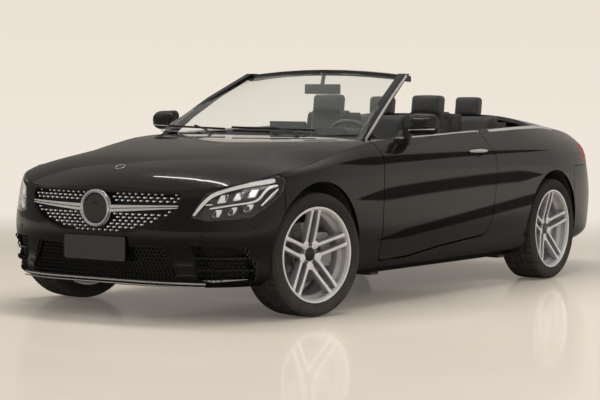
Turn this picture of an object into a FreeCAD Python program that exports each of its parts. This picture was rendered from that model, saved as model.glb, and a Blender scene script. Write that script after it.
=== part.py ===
import FreeCAD, Part
import math
import os

# Four-seat convertible car with its roof folded away and its windows down.
# Millimetres. The front faces -Y, the driver's side is +X, and Z is up from the ground.
# The origin is on the ground at the middle of the car's bounding box.

V = FreeCAD.Vector

# Overall sizes
LENGTH = 4686.0
BODY_WIDTH = 1810.0
WHEELBASE = 2840.0
FRONT_OVERHANG = 790.0
HALF = BODY_WIDTH / 2
NOSE = -LENGTH / 2
TAIL = LENGTH / 2
FRONT_AXLE = NOSE + FRONT_OVERHANG
REAR_AXLE = FRONT_AXLE + WHEELBASE

# Wheels and steering
TYRE_RADIUS = 330.0
FRONT_TRACK = 1562.0
REAR_TRACK = 1546.0
KINGPIN = 715.0
REST_STEER = -12.5
ARCH_RADIUS = 387.0
ARCH_TOP = 715.0
ARCH_CENTRE = ARCH_TOP - ARCH_RADIUS
DISC_RADIUS = 165.0
DISC_THICKNESS = 26.0

# Panels
SKIN = 3.0
SHUT_GAP = 5.0
SEAT = 0.3
DOOR_GAP = 7.0
SILL_GAP = 10.0
BONNET_THICKNESS = 24.0
LID_THICKNESS = 26.0
DOOR_INNER = 737.0
QUARTER_INNER = 690.0
GLASS = 5.0
LIP = 22.0
LIP_WALL = 7.0

# Places along the car
BUMPER_END = FRONT_AXLE - 305.0
DOOR_FRONT = FRONT_AXLE + 626.0
DOOR_REAR = DOOR_FRONT + 1382.0
BONNET_END = -945.0
COVER_START = 1190.0
DECK_START = 1560.0
LID_CORNER = 25.0
COVER_THICKNESS = 24.0
BUMPER_START = REAR_AXLE + 330.0

# Cabin
FLOOR_TOP = 215.0
FLOOR_THICKNESS = 12.0
FLOOR_UNDER = FLOOR_TOP - FLOOR_THICKNESS
TUNNEL_TOP = 430.0
SEAT_PAN = 335.0
FLOOR_SIDE = 699.7
JACK_HEIGHT = 170.0
TUB_FLOOR = 330.3
TUB_SIDE = 599.7
RAIL_X = 420.0
SEAT_X = 370.0
WING = 78.0


def box(x0, x1, y0, y1, z0, z1):
    """A block between two corners."""
    return Part.makeBox(x1 - x0, y1 - y0, z1 - z0, V(x0, y0, z0))


def cylinder(centre, axis, radius, length):
    """A rod centred on a point, along an axis."""
    direction = V(*axis).normalize()
    start = V(*centre) - direction * (length / 2)
    return Part.makeCylinder(radius, length, start, direction)


def tube(points, radius):
    """A round bar through points, with ball joints between its runs."""
    runs = []
    for first, last in zip(points, points[1:]):
        first, last = V(*first), V(*last)
        runs.append(Part.makeCylinder(radius, (last - first).Length, first, last - first))
        runs.append(Part.makeSphere(radius, last))
    return runs[0].multiFuse(runs[1:-1]) if len(runs) > 2 else runs[0]


def rounded(points, place):
    """A closed wire through corners (a, b, radius), put in space by place(a, b)."""
    flat = [(V(a, b, 0), r) for a, b, r in points]
    edges, ends = [], []
    count = len(flat)
    for i, (corner, radius) in enumerate(flat):
        before = (flat[i - 1][0] - corner).normalize()
        after = (flat[(i + 1) % count][0] - corner).normalize()
        half = before.getAngle(after) / 2
        if radius <= 0 or half > 1.55:
            ends.append((corner, None, corner))
            continue
        back = radius / math.tan(half)
        middle = (before + after).normalize() * (radius / math.sin(half) - radius)
        ends.append((corner + before * back, corner + middle, corner + after * back))
    for i, (start, middle, end) in enumerate(ends):
        if middle is not None:
            edges.append(Part.Arc(place(start), place(middle), place(end)).toShape())
        following = ends[(i + 1) % count][0]
        if (following - end).Length > 1e-6:
            edges.append(Part.makeLine(place(end), place(following)))
    return Part.Wire(edges)


def grown(points, by):
    """The corners (a, b, radius) of an outline moved outwards all round."""
    around = list(zip(points[-1:] + points[:-1], points, points[1:] + points[:1]))
    area = sum(p[0] * q[1] - p[1] * q[0] for p, q, _ in around)
    moved = []
    for last, (a, b, radius), following in around:
        into = V(a - last[0], b - last[1], 0).normalize()
        away = V(following[0] - a, following[1] - b, 0).normalize()
        out = V(into.y + away.y, -into.x - away.x, 0) * (by / (1 + into.dot(away)))
        if area < 0:
            out = out * -1
        outward = (into.x * away.y - into.y * away.x) * area > 0
        turned = max(radius + (by if outward else -by), 0) if radius else 0
        moved.append((a + out.x, b + out.y, turned))
    return moved


def along_x(x):
    return lambda p: V(x, p.x, p.y)


def along_y(y):
    return lambda p: V(p.x, y, p.y)


def along_z(z):
    return lambda p: V(p.x, p.y, z)


def prism_x(points, x0, x1):
    """An outline (y, z, radius) carried from x0 to x1."""
    return Part.Face(rounded(points, along_x(x0))).extrude(V(x1 - x0, 0, 0))


def prism_y(points, y0, y1):
    """An outline (x, z, radius) carried from y0 to y1."""
    return Part.Face(rounded(points, along_y(y0))).extrude(V(0, y1 - y0, 0))


def prism_z(points, z0, z1):
    """An outline (x, y, radius) carried from z0 to z1."""
    return Part.Face(rounded(points, along_z(z0))).extrude(V(0, 0, z1 - z0))


def ring(profile, centre, axis=(1, 0, 0)):
    """A profile of (offset along the axis, radius) turned about that axis."""
    points = [V(offset, radius, 0) for offset, radius in profile]
    wire = Part.makePolygon(points + points[:1])
    shape = Part.Face(wire).revolve(V(0, 0, 0), V(1, 0, 0), 360)
    turn = FreeCAD.Rotation(V(1, 0, 0), V(*axis))
    shape.Placement = FreeCAD.Placement(V(*centre), turn)
    return shape


def fused(shapes):
    """One solid from shapes that meet."""
    return shapes[0].multiFuse(shapes[1:]).removeSplitter()


def mirrored(shape):
    """The same shape on the other side of the car."""
    return shape.mirror(V(0, 0, 0), V(1, 0, 0))


def largest(shape):
    """The biggest solid of a cut, without the slivers beside it."""
    return max(shape.Solids, key=lambda solid: solid.Volume)


def pair(shape):
    """A shape and its mirror image, as two solids."""
    return Part.makeCompound(shape.Solids + mirrored(shape).Solids)


def whole(half):
    """A left half joined to its mirror image across the middle."""
    return half.fuse(mirrored(half)).removeSplitter()


def between(table, at):
    """A value read off a table of (place, value) pairs, straight between them."""
    if at <= table[0][0]:
        return table[0][1]
    for (a, first), (b, last) in zip(table, table[1:]):
        if at <= b:
            return first + (last - first) * (at - a) / (b - a)
    return table[-1][1]


def surface_from(poles, degree=3):
    """A smooth surface held by a net of poles."""
    def knots(count):
        spans = count - degree
        return list(range(spans + 1)), [degree + 1] + [1] * (spans - 1) + [degree + 1]
    ku, mu = knots(len(poles))
    kv, mv = knots(len(poles[0]))
    surface = Part.BSplineSurface()
    surface.buildFromPolesMultsKnots(poles, mu, mv, ku, kv, False, False, degree, degree)
    return surface


def greville(count, degree=3):
    """The parameter that each pole of a row acts on most."""
    knots = [0] * (degree + 1) + list(range(1, count - degree)) + [count - degree] * (degree + 1)
    return [sum(knots[i + 1:i + 1 + degree]) / degree for i in range(count)]


def moved_poles(poles, distance):
    """The net of a surface that lies a distance inside another."""
    surface = surface_from(poles)
    us, vs = greville(len(poles)), greville(len(poles[0]))
    moved = [[pole - surface.normal(us[i], vs[j]) * distance for j, pole in enumerate(row)]
             for i, row in enumerate(poles)]
    for row, first in zip(moved, poles):
        if abs(first[0].x) < 1e-6:
            for pole in row:
                pole.x = 0
    return moved


def closed_between(outer_poles, inner_poles):
    """The solid between two nets with the same rows."""
    outer, inner = surface_from(outer_poles), surface_from(inner_poles)
    faces = [outer.toShape(), inner.toShape()]
    u0, u1, v0, v1 = outer.bounds()
    for first, last in ((outer.uIso(u0), inner.uIso(u0)), (outer.uIso(u1), inner.uIso(u1)),
                        (outer.vIso(v0), inner.vIso(v0)), (outer.vIso(v1), inner.vIso(v1))):
        faces.append(Part.makeRuledSurface(first.toShape(), last.toShape()))
    shell = Part.makeShell(faces)
    shell.sewShape()
    solid = Part.makeSolid(shell)
    if solid.Volume < 0:
        solid.reverse()
    return solid


# The body side: an outline seen from above, and sections (set in from it, height) at
# chosen places along it. Rows run from the bottom edge up to the upper edge.
PLAN = [
    (0, NOSE), (170, NOSE), (330, NOSE + 18), (480, NOSE + 55), (610, NOSE + 115), (700, NOSE + 180),
    (775, NOSE + 262), (828, NOSE + 360), (862, NOSE + 470), (885, NOSE + 600), (897, FRONT_AXLE),
    (901, FRONT_AXLE + 180), (903, FRONT_AXLE + 390), (HALF, DOOR_FRONT), (HALF, -620), (HALF, -300),
    (HALF, 0), (HALF, 300), (HALF, 600), (HALF, 900), (HALF, 1120), (904, REAR_AXLE),
    (898, 1470), (886, 1650), (866, 1820), (835, 1960), (785, 2085), (700, 2185),
    (560, 2262), (380, 2312), (180, TAIL), (0, TAIL),
]
SECTIONS = [
    (0, [(60, 180), (18, 200), (12, 250), (25, 300), (8, 395), (0, 440), (3, 500), (10, 560),
         (22, 620), (32, 655), (42, 678), (54, 693)]),
    (3, [(60, 180), (18, 200), (12, 250), (25, 300), (8, 395), (0, 440), (3, 500), (10, 560),
         (20, 610), (28, 640), (36, 656), (46, 668)]),
    (6, [(70, 184), (20, 205), (14, 250), (22, 310), (6, 400), (0, 450), (4, 510), (12, 570),
         (20, 625), (27, 665), (34, 694), (42, 716)]),
    (8, [(85, 188), (28, 212), (20, 260), (16, 350), (6, 420), (2, 480), (2, 540), (4, 610),
         (10, 670), (17, 712), (26, 740), (42, 762)]),
    (10, [(90, 188), (40, 225), (28, 280), (14, 385), (8, 470), (5, 550), (2, 630), (3, 720),
          (8, 766), (22, 788), (58, 798), (102, 797)]),
    (13, [(100, 186), (44, 215), (34, 285), (14, 372), (6, 420), (5, 540), (0, 650), (1, 780),
          (6, 826), (14, 850), (46, 892), (88, 922)]),
    (17, [(100, 186), (44, 215), (34, 290), (13, 405), (5, 460), (5, 560), (0, 660), (1, 790),
          (6, 836), (14, 860), (46, 912), (88, 972)]),
    (19, [(100, 188), (42, 220), (32, 295), (13, 430), (5, 480), (5, 575), (0, 665), (1, 790),
          (6, 836), (14, 860), (46, 925), (100, 996)]),
    (21, [(100, 195), (38, 235), (28, 310), (14, 430), (6, 490), (5, 585), (1, 665), (3, 780),
          (8, 824), (18, 850), (60, 925), (140, 1003)]),
    (24, [(95, 225), (30, 262), (16, 325), (8, 430), (4, 495), (2, 580), (6, 665), (14, 760),
          (22, 812), (36, 845), (75, 905), (150, 957)]),
    (26, [(90, 240), (24, 270), (10, 330), (4, 425), (0, 495), (0, 560), (10, 650), (26, 740),
          (36, 800), (48, 838), (72, 872), (118, 905)]),
    (31, [(90, 240), (24, 268), (10, 330), (4, 425), (0, 495), (0, 560), (18, 640), (44, 735),
          (58, 815), (60, 855), (68, 880), (104, 893)]),
]
TOP_ROW = len(SECTIONS[0][1]) - 1


def plan_normal(index):
    """The direction that points out of the plan outline at one of its points."""
    ax, ay = PLAN[max(index - 1, 0)]
    bx, by = PLAN[min(index + 1, len(PLAN) - 1)]
    length = math.hypot(bx - ax, by - ay)
    if index in (0, 1):
        return 0.0, -1.0
    if index >= len(PLAN) - 2:
        return 0.0, 1.0
    return (by - ay) / length, -(bx - ax) / length


def side_net():
    """The net of poles of the left body side, from the nose round to the tail."""
    net = []
    for index, (x, y) in enumerate(PLAN):
        nx, ny = plan_normal(index)
        row = []
        for level in range(TOP_ROW + 1):
            inset = between([(at, rows[level][0]) for at, rows in SECTIONS], index)
            height = between([(at, rows[level][1]) for at, rows in SECTIONS], index)
            row.append(V(x - nx * inset, y - ny * inset, height))
        net.append(row)
    return net


SIDE = side_net()
SIDE_SURFACE = surface_from(SIDE)
LAST_SPAN = SIDE_SURFACE.bounds()[1]
TOP_SPAN = SIDE_SURFACE.bounds()[3]


def station_at(y, level=TOP_SPAN / 2):
    """The place along the side's net that lies at a given y."""
    low, high = 0.0, LAST_SPAN
    while high - low > 1e-4:
        middle = (low + high) / 2
        if SIDE_SURFACE.value(middle, level).y < y:
            low = middle
        else:
            high = middle
    return low


def stretch(first, last, low=0, high=None):
    """The net of the side between two stations, and between two of its rows."""
    surface = surface_from(SIDE)
    surface.segment(first, last, low, TOP_SPAN if high is None else high)
    return [list(row) for row in surface.getPoles()]


def skin(first, last, near=0.0, far=SKIN):
    """The layer of the side that lies between two depths under its surface."""
    net = stretch(first, last)
    return closed_between(moved_poles(net, near), moved_poles(net, far))


def block(first, last, inner):
    """All that lies between the side's surface and an upright plane inside it."""
    net = stretch(first, last)
    return closed_between(net, [[V(inner, p.y, p.z) for p in row] for row in net])


def sheet(net, thickness):
    """A panel whose upper surface is held by a net of poles."""
    upright = surface_from(net).normal(0.5, 0.5).z > 0
    return closed_between(net, moved_poles(net, thickness if upright else -thickness))


def level_at(u, z):
    """How far up the side's rows a given height lies, at one station."""
    low, high = 0.0, TOP_SPAN
    while high - low > 1e-4:
        middle = (low + high) / 2
        if SIDE_SURFACE.value(u, middle).z < z:
            low = middle
        else:
            high = middle
    return low


def edge_point(u, gap):
    """A point of the side's top edge, set in from it by a gap."""
    p = SIDE_SURFACE.value(u, TOP_SPAN)
    ahead = SIDE_SURFACE.value(min(u + 0.01, LAST_SPAN), TOP_SPAN)
    back = SIDE_SURFACE.value(max(u - 0.01, 0), TOP_SPAN)
    along = V(ahead.x - back.x, ahead.y - back.y, 0).normalize()
    return V(p.x - along.y * gap, p.y + along.x * gap, p.z)


ACROSS = [0.0, 0.16, 0.34, 0.52, 0.68, 0.82, 0.92, 1.0]


def lid_points(side_us, end_us, centre_heights, powers, far_bow, gap=SHUT_GAP):
    """The grid of a lid between the two side edges, its first row along the car's end."""
    corner = edge_point(side_us[0], gap)
    first = [edge_point(end_us[0] + (end_us[1] - end_us[0]) * t, gap) for t in ACROSS]
    rows = []
    for order, u in enumerate(side_us):
        edge = edge_point(u, gap)
        share = order / (len(side_us) - 1)
        fade = (1 - share) ** 2
        half = []
        for t, end in zip(ACROSS, first):
            bow = (end.y - corner.y) * fade + far_bow * share * (1 - t * t)
            y = edge.y + bow
            middle = edge.y + (first[0].y - corner.y) * fade + far_bow * share
            top = between(centre_heights, middle)
            x = edge.x * t + (end.x - corner.x * t) * (1 if order == 0 else 0)
            z = top - (top - edge.z) * t ** between(powers, middle)
            half.append(V(x, y, end.z if order == 0 else z))
        rows.append([V(-p.x, p.y, p.z) for p in reversed(half[1:])] + half)
    return rows


AIM = V(0.64, -0.77, 0)
ACROSS_AIM = V(0.77, 0.64, 0)
REAR_AIM = V(0.64, 0.77, 0)
ACROSS_REAR = V(0.77, -0.64, 0)
REACH = 1400.0


def aimed_prism(points, across, aim, grow=0.0):
    """An outline (sideways, height, radius) carried along a level direction."""
    wire = rounded(grown(points, grow), lambda p: across * p.x + V(0, 0, p.y) + aim * REACH)
    return Part.Face(wire).extrude(aim * REACH)


HEAD_LAMP = [(-1022, 541, 12), (-944, 662, 30), (-796, 705, 0), (-660, 737, 0), (-560, 750, 24),
             (-519, 731, 18), (-546, 655, 60), (-624, 594, 60), (-711, 541, 60), (-930, 524, 40)]
SIDE_INTAKE = [(-1040, 408, 6), (-830, 404, 50), (-740, 380, 60), (-686, 300, 60), (-676, 214, 16),
               (-900, 200, 16), (-985, 213, 16), (-1000, 330, 60)]
TAIL_LAMP = [(-498, 800, 20), (-528, 880, 14), (-992, 866, 10), (-1002, 770, 20),
             (-900, 742, 60), (-560, 750, 30)]


def both_sides(half):
    """A closed outline from its left half, top to bottom, with its mirror image."""
    return half + [(-x, z, r) for x, z, r in reversed(half)]


GRILLE = both_sides([(478, 663, 14), (492, 634, 20), (464, 560, 50), (388, 500, 90), (215, 448, 160)])
CENTRE_INTAKE = both_sides([(395, 392, 20), (484, 252, 18), (462, 226, 10)])


def arch_cut(y, x0=500.0, radius=ARCH_RADIUS):
    """What a wheel arch takes away: round above, straight down below."""
    round_part = Part.makeCylinder(radius, 1100 - x0, V(x0, y, ARCH_CENTRE), V(1, 0, 0))
    return round_part.fuse(box(x0, 1100, y - radius, y + radius, 0, ARCH_CENTRE))


def arch_lip(first, last, y, z0=0.0, z1=1000.0):
    """The inward fold of the panels' skin round a wheel arch."""
    band = arch_cut(y, 500, ARCH_RADIUS + LIP_WALL).cut(arch_cut(y))
    return skin(first, last, 0, LIP).common(band).common(box(0, 1100, y - 500, y + 500, z0, z1))


# The door's lower edge starts level, so that it swings over the sill with room to spare.
DOOR_OUTLINE = [(DOOR_FRONT, 264, 20), (DOOR_FRONT + 300, 268, 500), (DOOR_FRONT + 700, 308, 500),
                (DOOR_REAR - 80, 348, 90),
                (DOOR_REAR, 740, 260), (DOOR_REAR - 135, 1030, 0), (DOOR_FRONT, 1030, 0)]
DOOR_TAPER = 0.12
QUARTER_STATION = 16


def door_prism(grow):
    """The door's outline carried inwards, its rear face slanting forwards."""
    wires = []
    for x, shift in ((920.0, 0.0), (DOOR_INNER - 40, DOOR_TAPER * (920 - DOOR_INNER + 40))):
        points = [(y - (shift if y > 0 else 0), z, r) for y, z, r in DOOR_OUTLINE]
        wires.append(rounded(grown(points, grow), along_x(x)))
    return Part.makeLoft(wires, True, True)


def door():
    first, last = 11, 19
    panel = block(first, last, DOOR_INNER).common(door_prism(0))
    bowl = Part.makeSphere(58, V(905, 190, 852))
    shaped = bowl.transformGeometry(squeeze(V(905, 190, 852), (0.42, 1.55, 0.62)))
    return panel.cut(shaped)


def squeeze(centre, factors):
    """A matrix that stretches about a point."""
    matrix = FreeCAD.Matrix()
    matrix.move(centre * -1)
    matrix.scale(*factors)
    matrix.move(centre)
    return matrix


def blob(centre, radii):
    """An egg-like solid with three half sizes."""
    centre = V(*centre)
    return Part.makeSphere(1, centre).transformGeometry(squeeze(centre, radii))


def handle():
    strap = blob((903, 190, 852), (15, 118, 13))
    return strap.cut(blob((893, 190, 852), (14, 92, 30)))


MIRROR = (920.0, -508.0, 1012.0)
MIRROR_HALF = 88.0


def mirror(panel):
    """The mirror's head and its foot, which stands on the door's shoulder."""
    wires = []
    x, y, z = MIRROR
    for back, share, tall in ((88, 0.36, 20), (74, 0.66, 40), (40, 0.92, 58), (0, 1.0, 66)):
        wide = MIRROR_HALF * share
        corners = [(x - wide, z - tall, tall * 0.5), (x + wide, z - tall * 0.8, tall * 0.7),
                   (x + wide, z + tall * 0.9, tall * 0.7), (x - wide, z + tall, tall * 0.5)]
        wires.append(rounded(corners, along_y(y - back)))
    head = Part.makeLoft(wires, True, False)
    foot = prism_z([(x - 109, y - 80, 10), (x - 109, y - 34, 10), (x - 62, y - 34, 14), (x - 62, y - 72, 14)],
                   880, z - 12)
    return largest(head.fuse(foot).cut(panel))


def bonnet_net(gap=SHUT_GAP, rear=0.0):
    """The bonnet's net, from the grille back to the foot of the windscreen."""
    last = station_at(BONNET_END + rear, TOP_SPAN)
    stations = [2 + (last - 2) * k / 19 for k in range(20)]
    return lid_points(stations, (0, 2), NOSE_HEIGHTS, NOSE_POWERS, -70.0, gap)


def bonnet_room(clear):
    """The room that the bonnet needs over the panels and lamps below it."""
    return sheet(bonnet_net(0.0, 40), BONNET_THICKNESS + clear)


def front_wing():
    panel = skin(7, 14).fuse(arch_lip(6, 14, FRONT_AXLE))
    panel = panel.common(box(0, 1000, BUMPER_END + SHUT_GAP, DOOR_FRONT - DOOR_GAP, 258, 1200))
    lamp = aimed_prism(HEAD_LAMP, ACROSS_AIM, AIM, 3)
    return panel.cut(lamp).cut(arch_cut(FRONT_AXLE))


def front_bumper():
    panel = skin(0, 9).fuse(arch_lip(5, 9, FRONT_AXLE)).common(box(-1, 1000, NOSE - 50, BUMPER_END, 0, 1000))
    for cut in (aimed_prism(HEAD_LAMP, ACROSS_AIM, AIM, 3), aimed_prism(SIDE_INTAKE, ACROSS_AIM, AIM),
                prism_y(GRILLE, NOSE - 50, NOSE + 300), prism_y(CENTRE_INTAKE, NOSE - 50, NOSE + 300),
                arch_cut(FRONT_AXLE), box(690, 1000, -1960, BUMPER_END, 738, 900)):
        panel = panel.cut(cut)
    return whole(panel).cut(bonnet_room(SHUT_GAP))


def outline_y(points, grow):
    """A long prism along the car, from an outline (x, z, radius) grown all round."""
    return Part.Face(rounded(grown(points, grow), along_y(NOSE - 50))).extrude(V(0, 350, 0))


def lined(layer, prism, back, wall=8.0):
    """A flanged rim behind an opening, closed by a back plate: layer and prism make its parts."""
    rim = layer(SKIN + SEAT, back).common(prism(wall)).cut(prism(-wall))
    plate = layer(back - 4, back).common(prism(wall))
    return [rim, plate]


def grille():
    def layer(near, far):
        return whole(skin(0, 4, near, far))

    shapes = lined(layer, lambda grow: outline_y(GRILLE, grow), 38)
    nose = layer(4, 36)
    for side in (1, -1):
        for low, high in ((556, 571), (576, 591)):
            outline = [(90 * side, low, 0), (90 * side, high, 0), (480 * side, (high + 600) / 2 + 3, 0),
                       (480 * side, (low + 600) / 2 + 6, 0)]
            shapes.append(nose.common(prism_y(outline, NOSE - 50, NOSE + 200)).common(outline_y(GRILLE, 0)))
    shapes += grille_pins(outline_y(GRILLE, 0))
    boss = ring([(0, 0), (0, BOSS_RADIUS), (-16, BOSS_RADIUS), (-20, 90), (-16, 82), (-8, 80), (-8, 0)],
                (0, NOSE + 14, 573), (0, 1, 0))
    stem = cylinder((0, NOSE + 30, 573), (0, 1, 0), 60, 44)
    return fused(shapes + [boss, stem]).cut(bonnet_room(SHUT_GAP))


def nose_at(x, z):
    """The point of the nose's surface at a given place across the car and height."""
    low, high = 0.0, 6.0
    while high - low > 1e-3:
        middle = (low + high) / 2
        if SIDE_SURFACE.value(middle, level_at(middle, z)).x < x:
            low = middle
        else:
            high = middle
    return SIDE_SURFACE.value(low, level_at(low, z))


PIN_TOP = 651.0
PIN_ROWS = 34.4
PIN_STEP = 37.2
PIN_LENGTH = 22.0
LOUVRE_ZONE = (545, 603)
BOSS_RADIUS = 97.0


def grille_pins(opening):
    """The grille's pins: staggered rows, clear of the louvres and the round boss."""
    pins = []
    for row in range(6):
        z = PIN_TOP - PIN_ROWS * row
        for step in range(13):
            x = PIN_STEP * (step + 0.5 * (row % 2))
            inside = all(opening.isInside(V(x + a, NOSE, z + b), 0.01, False) for a in (-12, 12) for b in (-9, 9))
            if not inside or LOUVRE_ZONE[0] < z < LOUVRE_ZONE[1] or math.hypot(x, z - 573) < BOSS_RADIUS + 12:
                continue
            y = nose_at(x, z).y
            for place in sorted({x, -x}):
                pins.append(box(place - 2.5, place + 2.5, y + 42 - PIN_LENGTH, y + 42, z - 2, z + 2))
    return pins


def intake_grilles():
    shapes = [fused(lined(lambda near, far: whole(skin(0, 4, near, far)),
                          lambda grow: outline_y(CENTRE_INTAKE, grow), 30))]
    parts = lined(lambda near, far: skin(2, 8, near, far),
                  lambda grow: aimed_prism(SIDE_INTAKE, ACROSS_AIM, AIM, grow), 44)
    for height in (268, 330):
        blade = skin(2, 8, 8, 42).common(box(0, 1000, -2500, -1800, height, height + 7))
        parts.append(blade.common(aimed_prism(SIDE_INTAKE, ACROSS_AIM, AIM)))
    side = fused(parts)
    shapes += side.Solids + mirrored(side).Solids
    return Part.makeCompound(shapes)


def headlamp_housing():
    """An open bucket behind the lens, with a flange under the body's skin."""
    def prism(grow):
        return aimed_prism(HEAD_LAMP, ACROSS_AIM, AIM, grow)

    bucket = skin(2, 9, SKIN + SEAT, 70).common(prism(8)).cut(skin(2, 9, SKIN - 1, 66).common(prism(-6)))
    modules = []
    for sideways, height, size in ((-900, 610, 44), (-820, 632, 44), (-740, 652, 44),
                                   (-905, 556, 36), (-820, 566, 36), (-735, 580, 36)):
        corners = [(-1, -1), (1, -1), (1, 1), (-1, 1)]
        outline = [(sideways + a * size / 2, height + b * size / 2, 6) for a, b in corners]
        modules.append(skin(2, 9, 24, 68).common(aimed_prism(outline, ACROSS_AIM, AIM)))
    return fused([bucket] + modules).cut(bonnet_room(SHUT_GAP))


def headlamp_lens():
    return skin(2, 9).common(aimed_prism(HEAD_LAMP, ACROSS_AIM, AIM, -1))


def tail_lamp():
    return skin(22, 29, 0, 52).common(aimed_prism(TAIL_LAMP, ACROSS_REAR, REAR_AIM, -1))


NOSE_HEIGHTS = [(-2290, 693), (-2250, 720), (-2200, 752), (-2121, 789), (-2000, 826), (-1900, 848),
                (-1700, 880), (-1500, 904), (-1300, 922), (-1100, 936), (-1000, 941)]
NOSE_POWERS = [(-2289, 2.0), (-2100, 2.4), (-1900, 2.6), (-1600, 3.4), (-1385, 5.0), (-1000, 5.0)]
DECK_HEIGHTS = [(1180, 1075), (1300, 1062), (1500, 1040), (1560, 1031), (1700, 1016), (1900, 985),
                (2050, 950), (2150, 920), (2240, 893)]
DECK_POWERS = [(1180, 5.0), (1560, 4.0), (1900, 3.0), (2240, 2.2)]


def bonnet():
    return sheet(bonnet_net(), BONNET_THICKNESS)


def deck_net(first_y, gap=SHUT_GAP):
    """The boot lid's net, from the tail forward to its hinge."""
    first = station_at(first_y, TOP_SPAN)
    steps = [LID_CORNER + (first - LID_CORNER) * k / 13 for k in range(14)]
    return lid_points(steps, (LAST_SPAN, LID_CORNER), DECK_HEIGHTS, DECK_POWERS, 0.0, gap)


def boot_lid():
    top = sheet(deck_net(DECK_START), LID_THICKNESS)
    face = whole(skin(25, 29, 0, LID_THICKNESS)).common(box(-505, 505, 1900, 2400, 704, 888))
    return top.fuse(face).removeSplitter()


def cover_net(gap, start=COVER_START):
    """The net of the fixed cover over the folded roof."""
    first, last = station_at(start, TOP_SPAN), station_at(DECK_START - SHUT_GAP, TOP_SPAN)
    rows = []
    for k in range(6):
        edge = edge_point(first + (last - first) * k / 5, gap)
        top = between(DECK_HEIGHTS, edge.y)
        half = [V(edge.x * t, edge.y, top - (top - edge.z) * t ** 5) for t in ACROSS]
        rows.append([V(-p.x, p.y, p.z) for p in reversed(half[1:])] + half)
    return rows


def tonneau():
    """The fixed cover over the folded roof, with the two arms that the boot lid's hinges sit on."""
    lid = sheet(deck_net(DECK_START), LID_THICKNESS + SEAT).fuse(box(-700, 700, 1545, DECK_START + 2, 982, 1100))
    arms = []
    for x in (-540, 540):
        arms.append(box(x - 30, x + 30, 1500, 1545, 955, 1013))
        arms.append(box(x - 30, x + 30, 1510, 1605, 955, 990).cut(lid))
    return sheet(cover_net(14), COVER_THICKNESS).fuse(arms).removeSplitter()


def deck_room(clear):
    """The room that the boot lid needs over what lies below it."""
    return sheet(deck_net(DECK_START - SHUT_GAP, 0.0), LID_THICKNESS + clear)


def rear_quarter():
    side = block(QUARTER_STATION, 24, QUARTER_INNER)
    corner = skin(23, 29, 0, 30).common(box(509, 1000, 1900, 2400, 738, 1000))
    panel = side.cut(door_prism(DOOR_GAP - 1)).fuse(corner)
    panel = panel.cut(box(0, 1000, BUMPER_START, 2500, 0, 738))
    panel = panel.cut(box(0, 1000, 0, REAR_AXLE - 380, 0, 300 + SEAT))
    panel = panel.cut(deck_room(SHUT_GAP)).cut(sheet(cover_net(9, COVER_START - SHUT_GAP), COVER_THICKNESS + SEAT + 1.6))
    wheel_room = arch_cut(REAR_AXLE, 500, 410).common(box(0, 880, 0, 2500, 0, 1000))
    for cut in (arch_cut(REAR_AXLE), wheel_room, box(0, 1000, 0, REAR_AXLE, 0, 300)):
        panel = panel.cut(cut)
    return panel.cut(aimed_prism(TAIL_LAMP, ACROSS_REAR, REAR_AIM, SEAT - 1))


def rear_bumper():
    panel = skin(21, 29).fuse(arch_lip(20, 26, REAR_AXLE))
    panel = panel.common(box(-1, 1000, BUMPER_START + SHUT_GAP, 2500, 0, 734))
    panel = panel.cut(cylinder((470, 2200, 270), (0, 1, 0), 46, 500))
    panel = panel.cut(arch_cut(REAR_AXLE)).cut(aimed_prism(TAIL_LAMP, ACROSS_REAR, REAR_AIM, 3))
    panel = panel.cut(box(-1, 509, 1900, 2500, 700, 900))
    return whole(panel)


def sill():
    front = FRONT_AXLE + 380
    quarter = SIDE_SURFACE.value(QUARTER_STATION, TOP_SPAN / 2).y
    room = box(0, 1000, front, REAR_AXLE - 380, 0, 300).fuse(box(0, 1000, front, quarter - SEAT, 290, 360))
    panel = block(10, 22, FLOOR_SIDE + SEAT).common(room)
    panel = panel.cut(arch_cut(FRONT_AXLE)).cut(arch_cut(REAR_AXLE))
    panel = panel.cut(box(0, 1000, FRONT_AXLE, DOOR_FRONT - DOOR_GAP, 258 - SEAT, 1000))
    pads = [box(725, 795, y - 45, y + 45, JACK_HEIGHT, 240) for y in (-850, 720)]
    return panel.cut(door_prism(SILL_GAP)).fuse(pads).removeSplitter()


def underbody():
    low = FLOOR_UNDER + 1
    high = FLOOR_TOP - 1
    front = [(-905, 899.7), (-905, 420), (-790, high), (-760, high), (-760, low), (-797, low), (-917, 417),
             (-917, 899.7)]
    rear = [(530, high), (560, high), (590, SEAT_PAN), (1000, SEAT_PAN), (1150, 1020), (1162, 1020),
            (1009, SEAT_PAN - FLOOR_THICKNESS), (599, SEAT_PAN - FLOOR_THICKNESS), (570, low), (530, low)]
    side = FLOOR_SIDE
    shapes = [box(-side, side, -799, 548, FLOOR_UNDER, FLOOR_TOP)]
    for outline, half in ((front, side), (rear, TUB_SIDE)):
        shapes.append(prism_x([(y, z, 0) for y, z in outline], -half, half))
    shapes.append(prism_y([(-125, low, 0), (125, low, 0), (100, TUNNEL_TOP, 40), (-100, TUNNEL_TOP, 40)],
                          -912, 554))
    for x in (-RAIL_X, RAIL_X):
        shapes.append(box(x - 35, x + 35, -2233, -820, 330, 418))
        shapes.append(box(x - 30, x + 30, 540, 1815, 262, 330))
    for sign in (1, -1):
        shapes += hinge_post(sign)
    shapes.append(bumper_beam())
    hollow = prism_y([(-113, 190, 0), (113, 190, 0), (88, 417, 34), (-88, 417, 34)], -930, 540)
    return fused(shapes).cut(hollow).cut(box(-60, 60, 530, 640, 190, 300))


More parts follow.
